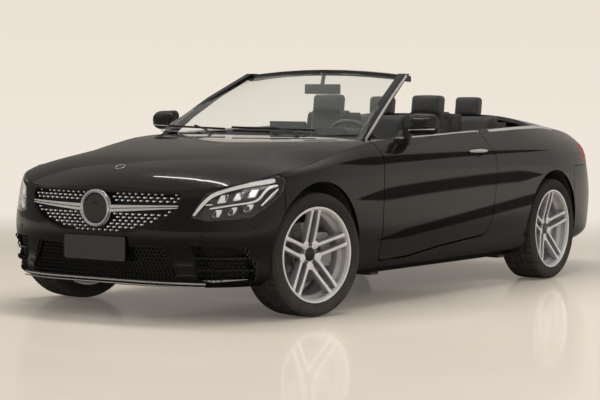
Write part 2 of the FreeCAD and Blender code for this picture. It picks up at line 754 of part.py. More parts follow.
def hinge_post(sign):
    """The post in front of a door, with the two fixed leaves of the door's hinges."""
    shapes = []
    leaves = [(690, 800, -957, DOOR_FRONT - SEAT, z, z + 50) for z in (400, 680)]
    for x0, x1, y0, y1, z0, z1 in [(641, DOOR_INNER - 19, -960, -850, 300 + SEAT, 899)] + leaves:
        shapes.append(box(min(x0 * sign, x1 * sign), max(x0 * sign, x1 * sign), y0, y1, z0, z1))
    return shapes


def bumper_beam():
    """The cross beam that carries the front bumper, curved as the grille's back is."""
    return whole(skin(0, 5, 42 + SEAT, 84)).common(box(-455, 455, NOSE, NOSE + 300, 470, 510)).fuse(
        [box(x - 30, x + 30, -2262, -2190, 404, 480) for x in (-RAIL_X, RAIL_X)])


def boot_tub():
    outline = [(TUB_SIDE, 1235), (TUB_SIDE, 1740), (540, 2050), (430, 2188)]
    wall = 12
    inner = [(TUB_SIDE - wall, 1235 + wall), (TUB_SIDE - wall, 1735), (530, 2043), (424, 2188 - wall)]
    shapes = []
    for points, low, high in ((outline, TUB_FLOOR, 860), (inner, TUB_FLOOR + wall, 900)):
        ends = [(x, y, 0) for x, y in points] + [(-x, y, 0) for x, y in reversed(points)]
        shapes.append(prism_z(ends, low, high))
    return shapes[0].cut(shapes[1])


def wheel_housings():
    shapes = []
    for y, inner, first, last in ((FRONT_AXLE, RAIL_X + 35 + SEAT, 5, 14), (REAR_AXLE, TUB_SIDE + SEAT, 19, 26)):
        outer = Part.makeCylinder(ARCH_RADIUS + LIP_WALL, 880 - inner, V(inner, y, ARCH_CENTRE), V(1, 0, 0))
        hollow = Part.makeCylinder(ARCH_RADIUS + 1, 900, V(inner + 6, y, ARCH_CENTRE), V(1, 0, 0))
        liner = outer.cut(hollow).common(box(0, 1000, y - 500, y + 500, ARCH_CENTRE, 1000))
        liner = largest(liner.cut(skin(first, last, -10, LIP + SEAT)))
        shapes += [liner, mirrored(liner)]
    return Part.makeCompound(shapes)


def windscreen_frame():
    shapes = []
    for side in (1, -1):
        wires = []
        for x, y, z, depth in ((722, -905, 900, 95), (690, -700, 1032, 86), (645, -470, 1160, 80),
                               (575, -150, 1312, 72)):
            corners = [(x - 6, y), (x, y + 8), (x, y + depth - 12), (x - 10, y + depth), (x - 48, y + depth),
                       (x - 44, y)]
            wire = [V(a * side, b, z) for a, b in corners]
            wires.append(Part.makePolygon(wire + wire[:1]))
        shapes.append(Part.makeLoft(wires, True, True))
    wires = []
    for x in (-576, -430, -290, -145, 0, 145, 290, 430, 576):
        y, z = -190 + 40 * (x / 576) ** 2, 1334 - 36 * (x / 576) ** 2
        corners = [(y, z - 26), (y + 70, z - 36), (y + 78, z - 26), (y + 74, z - 2), (y + 60, z + 3), (y + 14, z)]
        wire = [V(x, a, b) for a, b in corners]
        wires.append(Part.makePolygon(wire + wire[:1]))
    shapes.append(Part.makeLoft(wires, True, True))
    frame = fused(shapes)
    stem = cylinder((0, -150, 1272), (0, 0.3, 1), 12, 90)
    glass = box(-120, 120, -170, -140, 1185, 1245)
    return frame.fuse(stem).fuse(glass).removeSplitter()


def windscreen(frame):
    rows = []
    for share in (0, 0.35, 0.7, 1.0):
        line = []
        for t in (-1, -0.75, -0.45, 0, 0.45, 0.75, 1):
            x = (700 + (566 - 700) * share) * t
            y = -965 + 100 * t * t + share * (800 - 50 * t * t)
            z = 935 + 20 * t * t + share * (392 - 52 * t * t) + 26 * share * (1 - share) * 4
            line.append(V(x, y, z))
        rows.append(line)
    pane = sheet(rows, GLASS)
    for side in (1, -1):
        pane = pane.cut(box(min(600 * side, 900 * side), max(600 * side, 900 * side), -1100, 0, 0, 2000).common(frame))
    return largest(pane.cut(frame))


def cowl():
    """The tray at the windscreen's foot, with the seats of the bonnet's hinges and an upstand."""
    back = -917 - SEAT
    shapes = [box(-640, 640, -1005, back, 858, 872), box(-640, 640, back - 12, back, 860, 918)]
    shapes += [box(x - 25, x + 25, -1000, -955, 865, 920) for x in (-560, 560)]
    return fused(shapes).cut(bonnet_room(SEAT))


def dashboard():
    body = prism_x([(-905 + SEAT, 640, 30), (-905 + SEAT, 912, 10), (-700, 935, 60), (-520, 930, 50), (-455, 860, 60),
                    (-500, 720, 60), (-640, 600, 40)], -640, 640)
    binnacle = prism_y([(245, 915, 20), (495, 915, 20), (480, 985, 40), (260, 985, 40)], -640, -500)
    screen = box(-125, 125, -545, -530, 925, 1018)
    axis = V(*STEER_AXIS).normalize()
    end = V(*WHEEL_CENTRE) - axis * (26 + SEAT)
    column = Part.makeCylinder(34, 150, end - axis * 150, axis)
    return fused([body, binnacle, screen, column])


STEER_AXIS = (0, 0.92, 0.39)
WHEEL_CENTRE = (SEAT_X, -385, 858)


def steering_wheel():
    centre, axis = V(*WHEEL_CENTRE), V(*STEER_AXIS).normalize()
    profile = [(15 * math.cos(k * math.pi / 4 + 0.39), 178 + 15 * math.sin(k * math.pi / 4 + 0.39))
               for k in range(8)]
    rim = ring(profile, WHEEL_CENTRE, STEER_AXIS)
    hub = Part.makeCylinder(62, 40, centre - axis * 26, axis)
    shapes = [rim, hub]
    side = axis.cross(V(1, 0, 0))
    for angle in (200, 340, 270):
        out = V(1, 0, 0) * math.cos(math.radians(angle)) + side * math.sin(math.radians(angle)) * -1
        start = centre - axis * 4
        shapes.append(Part.makeCylinder(13, 178, start, out))
    return fused(shapes)


def centre_console():
    body = prism_x([(-560, TUNNEL_TOP + SEAT, 10), (-560, 640, 10), (-440, 640, 40), (-300, 590, 40), (330, 590, 40), (330, TUNNEL_TOP + SEAT, 10)],
                   -112, 112)
    return body


def seat(x, width=480):
    """A front seat on its rails: cushion, back, head rest and the wings beside them."""
    half = width / 2
    cushion = prism_x([(-140, 300, 50), (-160, 425, 50), (330, 385, 40), (420, 300, 40)], x - half + 20, x + half - 20)
    back = prism_x([(345, 330, 30), (430, 340, 40), (600, 1040, 40), (560, 1110, 24), (510, 1110, 24),
                    (380, 560, 60)], x - half + 35, x + half - 35)
    wings = []
    for x0, x1 in ((x - half, x - half + WING), (x + half - WING, x + half)):
        wings.append(prism_x([(-120, 305, 50), (-130, 452, 50), (310, 420, 50), (400, 305, 40)], x0, x1))
        shift = 15 if x0 < x - WING else -15
        wings.append(prism_x([(318, 400, 30), (445, 400, 30), (578, 950, 30), (515, 985, 30), (352, 600, 80)],
                             x0 + shift, x1 + shift))
    rest = prism_x([(455, 1060, 20), (545, 1060, 20), (570, 1195, 30), (470, 1195, 30)], x - 108, x + 108)
    rails = [box(x + dx - 15, x + dx + 15, -100, 380, FLOOR_TOP, 322) for dx in (-180, 180)]
    return fused([cushion, back, rest] + wings + rails)


def rear_seats():
    cushion = prism_x([(620, SEAT_PAN + SEAT, 30), (600, 500, 50), (900, 470, 30), (960, SEAT_PAN + SEAT, 30)], -590, 590)
    back = prism_x([(900, 350, 30), (985, 350, 10), (1105, 990, 10), (1105, 1075, 20), (1010, 1075, 40), (900, 560, 60)],
                   -590, 590)
    rests = [prism_x([(1080, 1060, 20), (1170, 1060, 20), (1185, 1190, 30), (1100, 1190, 30)], x - 90, x + 90)
             for x in (-330, 330)]
    return fused([cushion, back] + rests)


def engine_block():
    return box(-290, 290, -1960, -1180, 300, 790)


def front_suspension():
    """The subframe with its arms and struts: ball joints end just above and below each knuckle."""
    shapes = [box(-450, 450, -1640, -1470, 200, 262)]
    for side in (1, -1):
        x = KINGPIN * side
        shapes += [box(sign - 30, sign + 30, -1630, -1480, 255, 330 - SEAT) for sign in (420 * side,)]
        shapes.append(box(180 * side - 35, 180 * side + 35, -1600, -1510, 255, 300 - SEAT))
        shapes.append(tube([(400 * side, -1610, 222), (x, FRONT_AXLE, 182)], 13))
        shapes.append(tube([(400 * side, -1495, 222), (x, FRONT_AXLE, 182)], 13))
        shapes.append(cylinder((x, FRONT_AXLE, 186), (0, 0, 1), 22, 30))
        shapes.append(cylinder((590 * side, FRONT_AXLE, 455), (0, 0, 1), 26, 490))
        shapes.append(tube([(590 * side, FRONT_AXLE, 476), (x, FRONT_AXLE, 476)], 14))
        shapes.append(cylinder((x, FRONT_AXLE, 476), (0, 0, 1), 22, 30))
    return fused(shapes)


def caliper(side, y, forward):
    """The brake caliper that straddles the disc of a wheel at rest, pointing ahead."""
    track = (FRONT_TRACK if y < 0 else REAR_TRACK) / 2
    outer = Part.makeCylinder(190, 92, V(track - 70, y, TYRE_RADIUS), V(1, 0, 0))
    body = outer.cut(Part.makeCylinder(112, 92, V(track - 70, y, TYRE_RADIUS), V(1, 0, 0)))
    wedge = box(0, 1000, y + 60, y + 250, TYRE_RADIUS - 70, TYRE_RADIUS + 110)
    if forward:
        wedge = box(0, 1000, y - 250, y - 60, TYRE_RADIUS - 70, TYRE_RADIUS + 110)
    slot = Part.makeCylinder(DISC_RADIUS + 8, DISC_THICKNESS + 12, V(track - 40, y, TYRE_RADIUS), V(1, 0, 0))
    return body.common(wedge).cut(slot)


def knuckle():
    """A left front upright with its caliper, before it is steered."""
    x, y, z = KINGPIN, FRONT_AXLE, TYRE_RADIUS
    low, high = 201 + SEAT, 461 - SEAT
    upright = Part.makeCylinder(22, high - low, V(x, y, low))
    arm = box(x - 14, x + 10, y, y + 150, z - 30, z + 40)
    return fused([upright, spindle(FRONT_TRACK, y), arm, caliper(1, y, False)])


def spindle(track, y):
    """The bearing housing that a left wheel turns on, up to the back of its disc."""
    start = track / 2 - 78
    return Part.makeCylinder(48, track / 2 + 12 - SEAT - start, V(start, y, TYRE_RADIUS), V(1, 0, 0))


def steered(shape, side):
    """A front wheel piece turned with the steering as the car stands."""
    turned = shape.copy() if side > 0 else mirrored(shape)
    turned.rotate(V(side * KINGPIN, FRONT_AXLE, 0), V(0, 0, 1), REST_STEER)
    return turned


def rear_suspension():
    inner = RAIL_X - 30 - SEAT
    shapes = [box(-inner, inner, 1200, 1420, 240, 300)]
    for side in (1, -1):
        x = 695 * side
        shapes.append(tube([(340 * side, 1230, 252), (x, REAR_AXLE, 222)], 13))
        shapes.append(tube([(340 * side, 1400, 252), (x, REAR_AXLE, 222)], 13))
        shapes.append(cylinder((x, REAR_AXLE, 330), (0, 0, 1), 24, 244))
        shapes.append(cylinder((500 * side, REAR_AXLE, 280), (0, 0, 1), 26, 99))
        hub = fused([spindle(REAR_TRACK, REAR_AXLE), caliper(1, REAR_AXLE, False),
                     box(680, 712, REAR_AXLE, REAR_AXLE + 150, TYRE_RADIUS - 30, TYRE_RADIUS + 40)])
        shapes.append(hub if side > 0 else mirrored(hub))
    return fused(shapes)


def wheel_pieces(track, y):
    """A left tyre and rim on the axle line, before any steering."""
    centre = (track / 2, y, TYRE_RADIUS)
    rubber = ring([(-100, 243.5), (-104, 255), (-122, 290), (-96, TYRE_RADIUS), (96, TYRE_RADIUS), (122, 290),
                   (104, 255), (100, 243.5)], centre)
    barrel = ring([(-111, 254), (-105, 254), (-103, 243), (-60, 243), (-44, 227), (40, 227), (60, 243), (103, 243),
                   (105, 254), (111, 254), (111, 238), (62, 235), (42, 219), (-46, 219), (-62, 235), (-111, 238)],
                  centre)
    hub = ring([(12, 0), (12, 70), (40, 68), (43, 47), (56, 40), (56, 0)], centre)
    disc = ring([(-34, 84), (-34, DISC_RADIUS), (-8, DISC_RADIUS), (-8, 88), (20, 88), (20, 40), (12, 40), (12, 80),
                 (-34, 80)], centre)
    shapes = [barrel, hub, disc]
    for pair in range(SPOKE_PAIRS):
        turn = math.radians(90 + 360 / SPOKE_PAIRS * pair)
        shapes += [spoke(V(*centre), turn, lean) for lean in (-1, 1)]
        shapes.append(spoke_root(V(*centre), turn + math.pi / SPOKE_PAIRS))
    return rubber, fused(shapes)


SPOKE_PAIRS = 5
# A spoke's sections: radius, distance from its pair's middle line, width of its face,
# the face's place along the axle, and its depth.
SPOKE = [(40, 25, 21, 54, 26), (100, 28.5, 15.5, 66.5, 34), (180, 27.5, 15, 87, 34), (236, 25.5, 26, 99, 28)]
SPOKE_DRAFT = 4.5
# The corner where two pairs meet: (radius, distance across).
SPOKE_ROOT = [(36, 10), (58, 26.5), (74, 20), (80, 11.5), (82, 0)]


def directions(turn):
    """The directions out from the axle and across, at a turn."""
    return V(0, math.cos(turn), math.sin(turn)), V(0, -math.sin(turn), math.cos(turn))


def spoke(centre, turn, lean):
    """One spoke of a pair, with a flat face and sides that widen towards its back."""
    out, across = directions(turn)
    wires = []
    for radius, sideways, width, face, depth in SPOKE:
        middle = centre + out * radius + across * sideways * lean
        corners = [(width / 2, face), (-width / 2, face), (-width / 2 - SPOKE_DRAFT, face - depth),
                   (width / 2 + SPOKE_DRAFT, face - depth)]
        points = [middle + across * a + V(b, 0, 0) for a, b in corners]
        wires.append(Part.makePolygon(points + points[:1]))
    return Part.makeLoft(wires, True, False)


def spoke_root(centre, turn):
    """The filled corner between two pairs of spokes."""
    out, across = directions(turn)
    outline = [(r, a) for r, a in SPOKE_ROOT] + [(r, -a) for r, a in reversed(SPOKE_ROOT) if a > 0]
    points = [centre + out * r + across * a + V(32, 0, 0) for r, a in outline]
    return Part.Face(Part.makePolygon(points + points[:1])).extrude(V(26, 0, 0))


def exhaust():
    pipe = tube([(0, -900, 240), (0, 650, 240), (120, 950, 196), (240, 1170, 190), (300, 1500, 196),
                 (300, 1880, 262)], 28)
    silencer = prism_x([(1830, 222, 40), (1830, TUB_FLOOR - SEAT, 40), (2080, TUB_FLOOR - SEAT, 40), (2080, 222, 40)],
                       -560, 560)
    tips = [cylinder((x, 2150, 270), (0, 1, 0), 40, 200) for x in (-470, 470)]
    return fused([pipe, silencer] + tips)


def number_plate():
    """A blank front plate, standing on the bumper."""
    top = 430.0
    face = SIDE_SURFACE.value(0, level_at(0, top)).y - SEAT
    return prism_y(both_sides([(199, top, 10), (199, top - 123, 10)]), face - 6, face)


def waist_trim():
    """The bright strip along the top edge of a rear quarter."""
    net = stretch(station_at(470, TOP_SPAN), station_at(1500, TOP_SPAN), TOP_SPAN - 0.08, TOP_SPAN)
    return closed_between(moved_poles(net, -3), moved_poles(net, -0.3))


FRAME = windscreen_frame()
FRONT_TYRE, FRONT_RIM = wheel_pieces(FRONT_TRACK, FRONT_AXLE)
REAR_TYRE, REAR_RIM = wheel_pieces(REAR_TRACK, REAR_AXLE)
NODES = {
    "underbody": underbody,
    "engine_block": engine_block,
    "front_suspension": front_suspension,
    "rear_suspension": rear_suspension,
    "wheel_housings": wheel_housings,
    "exhaust": exhaust,
    "front_bumper": front_bumper,
    "grille": grille,
    "intake_grilles": intake_grilles,
    "headlamp_housings": lambda: pair(headlamp_housing()),
    "headlamp_lenses": lambda: pair(headlamp_lens()),
    "front_wings": lambda: pair(front_wing()),
    "sills": lambda: pair(sill()),
    "rear_quarters": lambda: pair(rear_quarter()),
    "rear_bumper": rear_bumper,
    "tail_lamps": lambda: pair(tail_lamp()),
    "boot_tub": boot_tub,
    "tonneau": tonneau,
    "waist_trim": lambda: pair(waist_trim()),
    "windscreen_frame": lambda: FRAME,
    "windscreen": lambda: windscreen(FRAME),
    "cowl": cowl,
    "dashboard": dashboard,
    "centre_console": centre_console,
    "front_seats": lambda: pair(seat(SEAT_X)),
    "rear_seats": rear_seats,
    "number_plate": number_plate,
    "door_left": door,
    "door_right": lambda: mirrored(door()),
    "mirror_left": lambda: mirror(door()),
    "mirror_right": lambda: mirrored(mirror(door())),
    "handle_left": handle,
    "handle_right": lambda: mirrored(handle()),
    "bonnet": bonnet,
    "boot_lid": boot_lid,
    "steering_wheel": steering_wheel,
    "knuckle_left": lambda: steered(knuckle(), 1),
    "knuckle_right": lambda: steered(knuckle(), -1),
    "tyre_front_left": lambda: steered(FRONT_TYRE, 1),
    "tyre_front_right": lambda: steered(FRONT_TYRE, -1),
    "rim_front_left": lambda: steered(FRONT_RIM, 1),
    "rim_front_right": lambda: steered(FRONT_RIM, -1),
    "tyre_rear_left": lambda: REAR_TYRE,
    "tyre_rear_right": lambda: mirrored(REAR_TYRE),
    "rim_rear_left": lambda: REAR_RIM,
    "rim_rear_right": lambda: mirrored(REAR_RIM),
}



def main():
    os.makedirs("parts", exist_ok=True)
    for name, make in NODES.items():
        make().exportStep(f"parts/{name}.step")


if __name__ == "__main__":
    main()
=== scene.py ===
"""The looks of a four-seat convertible car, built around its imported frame.

Every length is in metres, in the frame of the car: +X to its left, -Y ahead, +Z up, and the
ground at zero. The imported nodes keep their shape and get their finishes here. What they leave
out is modelled round them: lamps, grille pins, tread, spokes, trim, glass fittings and seats.
"""

import logging
import math
from contextlib import contextmanager
from dataclasses import dataclass, field
from enum import Enum
from typing import Callable, Iterable, Iterator, Optional, Sequence, Union

import bmesh
import bpy
from mathutils import Matrix, Vector
from mathutils.bvhtree import BVHTree


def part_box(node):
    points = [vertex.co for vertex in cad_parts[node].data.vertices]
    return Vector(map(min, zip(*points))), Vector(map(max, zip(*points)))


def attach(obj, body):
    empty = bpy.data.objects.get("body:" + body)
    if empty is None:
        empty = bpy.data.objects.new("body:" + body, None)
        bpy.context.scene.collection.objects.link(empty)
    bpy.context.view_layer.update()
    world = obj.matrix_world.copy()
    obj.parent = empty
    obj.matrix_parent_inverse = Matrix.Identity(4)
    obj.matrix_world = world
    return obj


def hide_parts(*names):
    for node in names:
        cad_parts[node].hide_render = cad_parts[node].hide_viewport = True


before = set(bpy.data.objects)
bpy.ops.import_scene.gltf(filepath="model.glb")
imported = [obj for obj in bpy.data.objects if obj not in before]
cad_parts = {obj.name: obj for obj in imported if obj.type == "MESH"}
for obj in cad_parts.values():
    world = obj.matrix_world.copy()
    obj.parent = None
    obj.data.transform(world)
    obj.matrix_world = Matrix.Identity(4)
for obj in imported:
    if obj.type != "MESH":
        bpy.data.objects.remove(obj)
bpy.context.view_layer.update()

LOG = logging.getLogger("convertible")
X, Y, Z = Vector((1, 0, 0)), Vector((0, 1, 0)), Vector((0, 0, 1))
MIRROR = Matrix.Diagonal((-1, 1, 1, 1))
AHEAD, BEHIND = -2.6, 3.0  # places along Y, clear of the car, that rays start from
FEWEST = 4  # the points that a strip's path needs
Point = Sequence[float]
Corner = tuple[float, float, float]
Mesh = bpy.types.Object
Outline = list[tuple[float, float]]
Upward = Union[Vector, Callable[[Vector], Vector]]


class Side(Enum):
    """The two sides of the car, as the sign of X."""

    LEFT = 1
    RIGHT = -1

    @property
    def word(self) -> str:
        """The side's name, as the nodes spell it."""
        return self.name.lower()

    @property
    def place(self) -> Matrix:
        """The matrix that carries a piece made for the left side to this one."""
        return Matrix.Identity(4) if self is Side.LEFT else MIRROR


class Body(Enum):
    """The moving bodies of the car."""

    ROOT = "root"
    BONNET = "bonnet"
    BOOT_LID = "boot_lid"
    STEERING_WHEEL = "steering_wheel"

    @staticmethod
    def door(side: Side) -> str:
        """The name of a door's body."""
        return f"door_{side.word}"

    @staticmethod
    def knuckle(side: Side) -> str:
        """The name of a steered upright's body."""
        return f"knuckle_{side.word}"

    @staticmethod
    def wheel(end: str, side: Side) -> str:
        """The name of a wheel's body."""
        return f"wheel_{end}_{side.word}"


class Slot(Enum):
    """The names of material slots for new pieces; nothing here puts a piece into one."""

    PAINT = "paint"
    BLACK_GLOSS = "black_gloss"
    TRIM = "trim_plastic"
    CAST = "cast_metal"
    STEEL = "steel"
    BRIGHT = "bright"
    GRILLE = "grille"
    LAMP = "lamp_inner"
    RED = "red_lens"
    LEATHER = "leather"
    SOFT_PANEL = "soft_panel"
    RUBBER = "rubber"
    ALLOY = "alloy"


class Bench:
    """The modelling moves that every piece is made with."""

    @staticmethod
    def clear() -> None:
        """Leave edit mode and deselect everything."""
        if bpy.context.object and bpy.context.object.mode != "OBJECT":
            bpy.ops.object.mode_set(mode="OBJECT")
        bpy.ops.object.select_all(action="DESELECT")

    @staticmethod
    def select(piece: Mesh) -> Mesh:
        """Make a piece the only selected one."""
        Bench.clear()
        piece.select_set(True)
        bpy.context.view_layer.objects.active = piece
        return piece

    @staticmethod
    def primitive(kind: str, name: str, **values: object) -> Mesh:
        """A new primitive with its place put into its mesh.

        Args:
            kind: the primitive, as in the name of its operator.
            name: the piece's name.
            values: what the operator is given.

        Returns:
            The piece.
        """
        Bench.clear()
        getattr(bpy.ops.mesh, f"primitive_{kind}_add")(**values)
        piece = bpy.context.object
        piece.name = name
        piece.data.name = name
        bpy.ops.object.transform_apply(location=True, rotation=True, scale=True)
        return piece

    @staticmethod
    @contextmanager
    def editing(piece: Mesh, kind: str = "VERT", action: str = "SELECT") -> Iterator[None]:
        """Open a piece in edit mode, with all of its parts of one kind selected or none.

        Args:
            piece: the piece to open.
            kind: the kind of part: VERT, EDGE or FACE.
            action: SELECT or DESELECT.

        Yields:
            Nothing, while the piece is open.
        """
        Bench.select(piece)
        bpy.ops.object.mode_set(mode="EDIT")
        bpy.ops.mesh.select_mode(type=kind)
        bpy.ops.mesh.select_all(action=action)
        yield
        bpy.ops.object.mode_set(mode="OBJECT")

    @staticmethod
    def tidy(piece: Mesh, near: float = 1e-6) -> Mesh:
        """Merge points nearer than a distance and turn all faces outwards."""
        with Bench.editing(piece):
            bpy.ops.mesh.remove_doubles(threshold=near)
            bpy.ops.mesh.normals_make_consistent(inside=False)
        return piece

    @staticmethod
    def modify(piece: Mesh, kind: str, **values: object) -> Mesh:
        """Add one modifier with the given values, and apply it."""
        Bench.select(piece)
        modifier = piece.modifiers.new(kind.lower(), kind)
        for name, value in values.items():
            setattr(modifier, name, value)
        bpy.ops.object.modifier_apply(modifier=modifier.name)
        return piece

    @staticmethod
    def rounded(piece: Mesh, width: float, segments: int = 2, angle: float = 30) -> Mesh:
        """Round a piece's sharp edges."""
        return Bench.modify(piece, "BEVEL", width=width, segments=segments, limit_method="ANGLE",
                            angle_limit=math.radians(angle), harden_normals=False)

    @staticmethod
    def smooth(piece: Mesh, angle: float = 35) -> Mesh:
        """Shade a piece smooth, with edges sharper than an angle kept."""
        Bench.select(piece)
        bpy.ops.object.shade_smooth_by_angle(angle=math.radians(angle))
        return piece

    @staticmethod
    def block(name: str, low: Point, high: Point, edge: float = 0.0, segments: int = 2) -> Mesh:
        """A block between two corners, with rounded edges.

        Args:
            name: the piece's name.
            low: its lowest corner.
            high: its highest corner.
            edge: the radius of its edges.
            segments: the steps of that radius.

        Returns:
            The block.
        """
        low, high = Vector(low), Vector(high)
        piece = Bench.primitive("cube", name, size=1, location=(low + high) / 2, scale=high - low)
        return Bench.rounded(piece, edge, segments) if edge else piece

    @staticmethod
    def sheet(name: str, rows: Sequence[Sequence[Vector]], around: bool = False) -> Mesh:
        """A grid of faces laid over rows of points.

        Args:
            name: the piece's name.
            rows: the points, row by row.
            around: whether each row closes on itself.

        Returns:
            The sheet, one face thick.
        """
        lines = [list(row) + ([row[0]] if around else []) for row in rows]
        count = len(lines[0])
        piece = Bench.primitive("grid", name, x_subdivisions=count - 1, y_subdivisions=len(lines) - 1, size=1)
        for index, vertex in enumerate(piece.data.vertices):
            vertex.co = lines[index // count][index % count]
        return Bench.tidy(piece)

    @staticmethod
    def hull(name: str, sections: Sequence[Sequence[Vector]]) -> Mesh:
        """A closed form lofted through rings of points, with both ends filled."""
        piece = Bench.sheet(name, sections, around=True)
        with Bench.editing(piece, "EDGE", "DESELECT"):
            bpy.ops.mesh.select_non_manifold()
            bpy.ops.mesh.fill_holes(sides=0)
        return Bench.tidy(piece)

    @staticmethod
    def prism(name: str, ring: Sequence[Vector], depth: Vector, edge: float = 0.0,
              segments: int = 2) -> Mesh:
        """A flat outline carried along a vector.

        Args:
            name: the piece's name.
            ring: the corners of the outline, in order.
            depth: how far and which way it is carried.
            edge: the radius of its edges.
            segments: the steps of that radius.

        Returns:
            The closed prism.
        """
        piece = Bench.hull(name, [list(ring), [point + depth for point in ring]])
        return Bench.rounded(piece, edge, segments) if edge else piece

    @staticmethod
    def upright(name: str, x: float, outline: Outline, width: float, edge: float, segments: int = 2) -> Mesh:
        """A prism of an outline (y, z) that stands at an x and reaches a width across the car."""
        return Bench.prism(name, [Vector((x, y, z)) for y, z in outline], X * width, edge, segments)

    @staticmethod
    def turned(name: str, profile: Outline, centre: Point, axis: Vector = X, steps: int = 96) -> Mesh:
        """A profile of (offset along the axis, radius) spun about that axis.

        Args:
            name: the piece's name.
            profile: the points of the profile, closed if its ends are off the axis.
            centre: the point of the axis at offset zero.
            axis: the axis.
            steps: the number of steps round it.

        Returns:
            The spun piece.
        """
        line = Bench.thread(name, [Vector((along, 0, radius)) for along, radius in profile])
        with Bench.editing(line):
            bpy.ops.mesh.spin(steps=steps, angle=math.tau, center=(0, 0, 0), axis=(1, 0, 0))
        turn = X.rotation_difference(axis).to_matrix().to_4x4()
        line.data.transform(Matrix.Translation(Vector(centre)) @ turn)
        return Bench.tidy(line, 1e-5)

    @staticmethod
    def thread(name: str, points: Sequence[Vector]) -> Mesh:
        """A line of edges through points, each extruded from the last."""
        piece = Bench.primitive("plane", name, size=0.001, location=points[0])
        with Bench.editing(piece):
            bpy.ops.mesh.merge(type="CENTER")
            for first, last in zip(points, points[1:]):
                bpy.ops.mesh.extrude_region_move(TRANSFORM_OT_translate={"value": last - first})
        return piece

    @staticmethod
    def swept(name: str, path: Sequence[Vector], up: Upward, outline: Outline,
              closed: bool = False) -> Mesh:
        """An outline carried along a path.

        Args:
            name: the piece's name.
            path: the points of the path.
            up: the outline's second direction, or a function that gives it from the path's direction.
            outline: points (sideways, up) round the section.
            closed: whether the path closes on itself.

        Returns:
            The closed piece.
        """
        count = len(path)
        rings = []
        for index, point in enumerate(path):
            before = path[index - 1] if closed or index else point
            after = path[(index + 1) % count] if closed or index < count - 1 else point
            along = (after - before).normalized()
            top = up(along) if callable(up) else up
            top = (top - along * top.dot(along)).normalized()
            across = along.cross(top)
            rings.append([point + across * a + top * b for a, b in outline])
        if closed:
            return Bench.sheet(name, rings + rings[:1], around=True)
        return Bench.hull(name, rings)

    @staticmethod
    def pipe(name: str, path: Sequence[Vector], radius: float, sides: int = 12) -> Mesh:
        """A round bar along a path."""
        ring = [(math.cos(k * math.tau / sides) * radius, math.sin(k * math.tau / sides) * radius)
                for k in range(sides)]
        return Bench.swept(name, path, lambda along: Z if abs(along.z) < 0.9 else X, ring)

    @staticmethod
    def copied(piece: Mesh, name: str, place: Matrix) -> Mesh:
        """A copy of a piece with its own mesh, put in another place.

        Args:
            piece: the piece to copy.
            name: the copy's name.
            place: the matrix that moves, turns or mirrors it.

        Returns:
            The copy.
        """
        Bench.select(piece)
        bpy.ops.object.duplicate(linked=False)
        copy = bpy.context.object
        copy.name = name
        copy.data.name = name
        copy.data.transform(place)
        if place.determinant() < 0:
            copy.data.flip_normals()
        return copy

    @staticmethod
    def joined(name: str, pieces: Sequence[Mesh]) -> Mesh:
        """Several pieces made one."""
        Bench.clear()
        for piece in pieces:
            piece.select_set(True)
        bpy.context.view_layer.objects.active = pieces[0]
        bpy.ops.object.join()
        pieces[0].name = name
        pieces[0].data.name = name
        return pieces[0]


def rounded_ring(corners: Sequence[Corner], steps: int) -> Outline:
    """An outline whose corners (a, b, radius) are rounded by arcs.

    Args:
        corners: the corners with their radii, in order.
        steps: the steps of each arc.

    Returns:
        The points of the rounded outline.
    """
    ring: Outline = []
    count = len(corners)
    for index, (a, b, radius) in enumerate(corners):
        corner = Vector((a, b))
        before = (Vector(corners[index - 1][:2]) - corner).normalized()
        after = (Vector(corners[(index + 1) % count][:2]) - corner).normalized()
        half = before.angle(after) / 2
        if radius <= 0 or half > 1.5:
            ring.append((a, b))
            continue
        start = corner + before * (radius / math.tan(half))
        end = corner + after * (radius / math.tan(half))
        centre = corner + (before + after).normalized() * (radius / math.sin(half))
        for step in range(steps + 1):
            spoke = (start - centre).lerp(end - centre, step / steps).normalized() * radius
            ring.append(tuple(centre + spoke))
    return ring


def oblong(low: tuple[float, float], high: tuple[float, float], radius: float, steps: int = 2,
           upper: Optional[float] = None) -> Outline:
    """An oblong outline with rounded corners.

    Args:
        low: its lowest corner.
        high: its highest corner.
        radius: the radius of its corners.
        steps: the steps of each arc.
        upper: the radius of its two upper corners, where that is another.

    Returns:
        The points of the outline.
    """
    (left, bottom), (right, top) = low, high
    upper = radius if upper is None else upper
    return rounded_ring([(left, bottom, radius), (right, bottom, radius), (right, top, upper),
                         (left, top, upper)], steps)


def bar_ring(half: float, lift: float, radius: float, steps: int = 2,
             upper: Optional[float] = None) -> Outline:
    """The oblong section of a bar, by half its width and half its height."""
    return oblong((-half, -lift), (half, lift), radius, steps, upper)


def resampled(points: Sequence[Vector], count: int) -> list[Vector]:
    """Points evenly spaced along a line of points."""
    lengths = [0.0]
    for first, last in zip(points, points[1:]):
        lengths.append(lengths[-1] + (last - first).length)
    placed = []
    leg = 0
    for step in range(count):
        at = lengths[-1] * step / (count - 1)
        while leg < len(points) - 2 and lengths[leg + 1] < at:
            leg += 1
        share = (at - lengths[leg]) / max(lengths[leg + 1] - lengths[leg], 1e-9)
        placed.append(points[leg].lerp(points[leg + 1], share))
    return placed


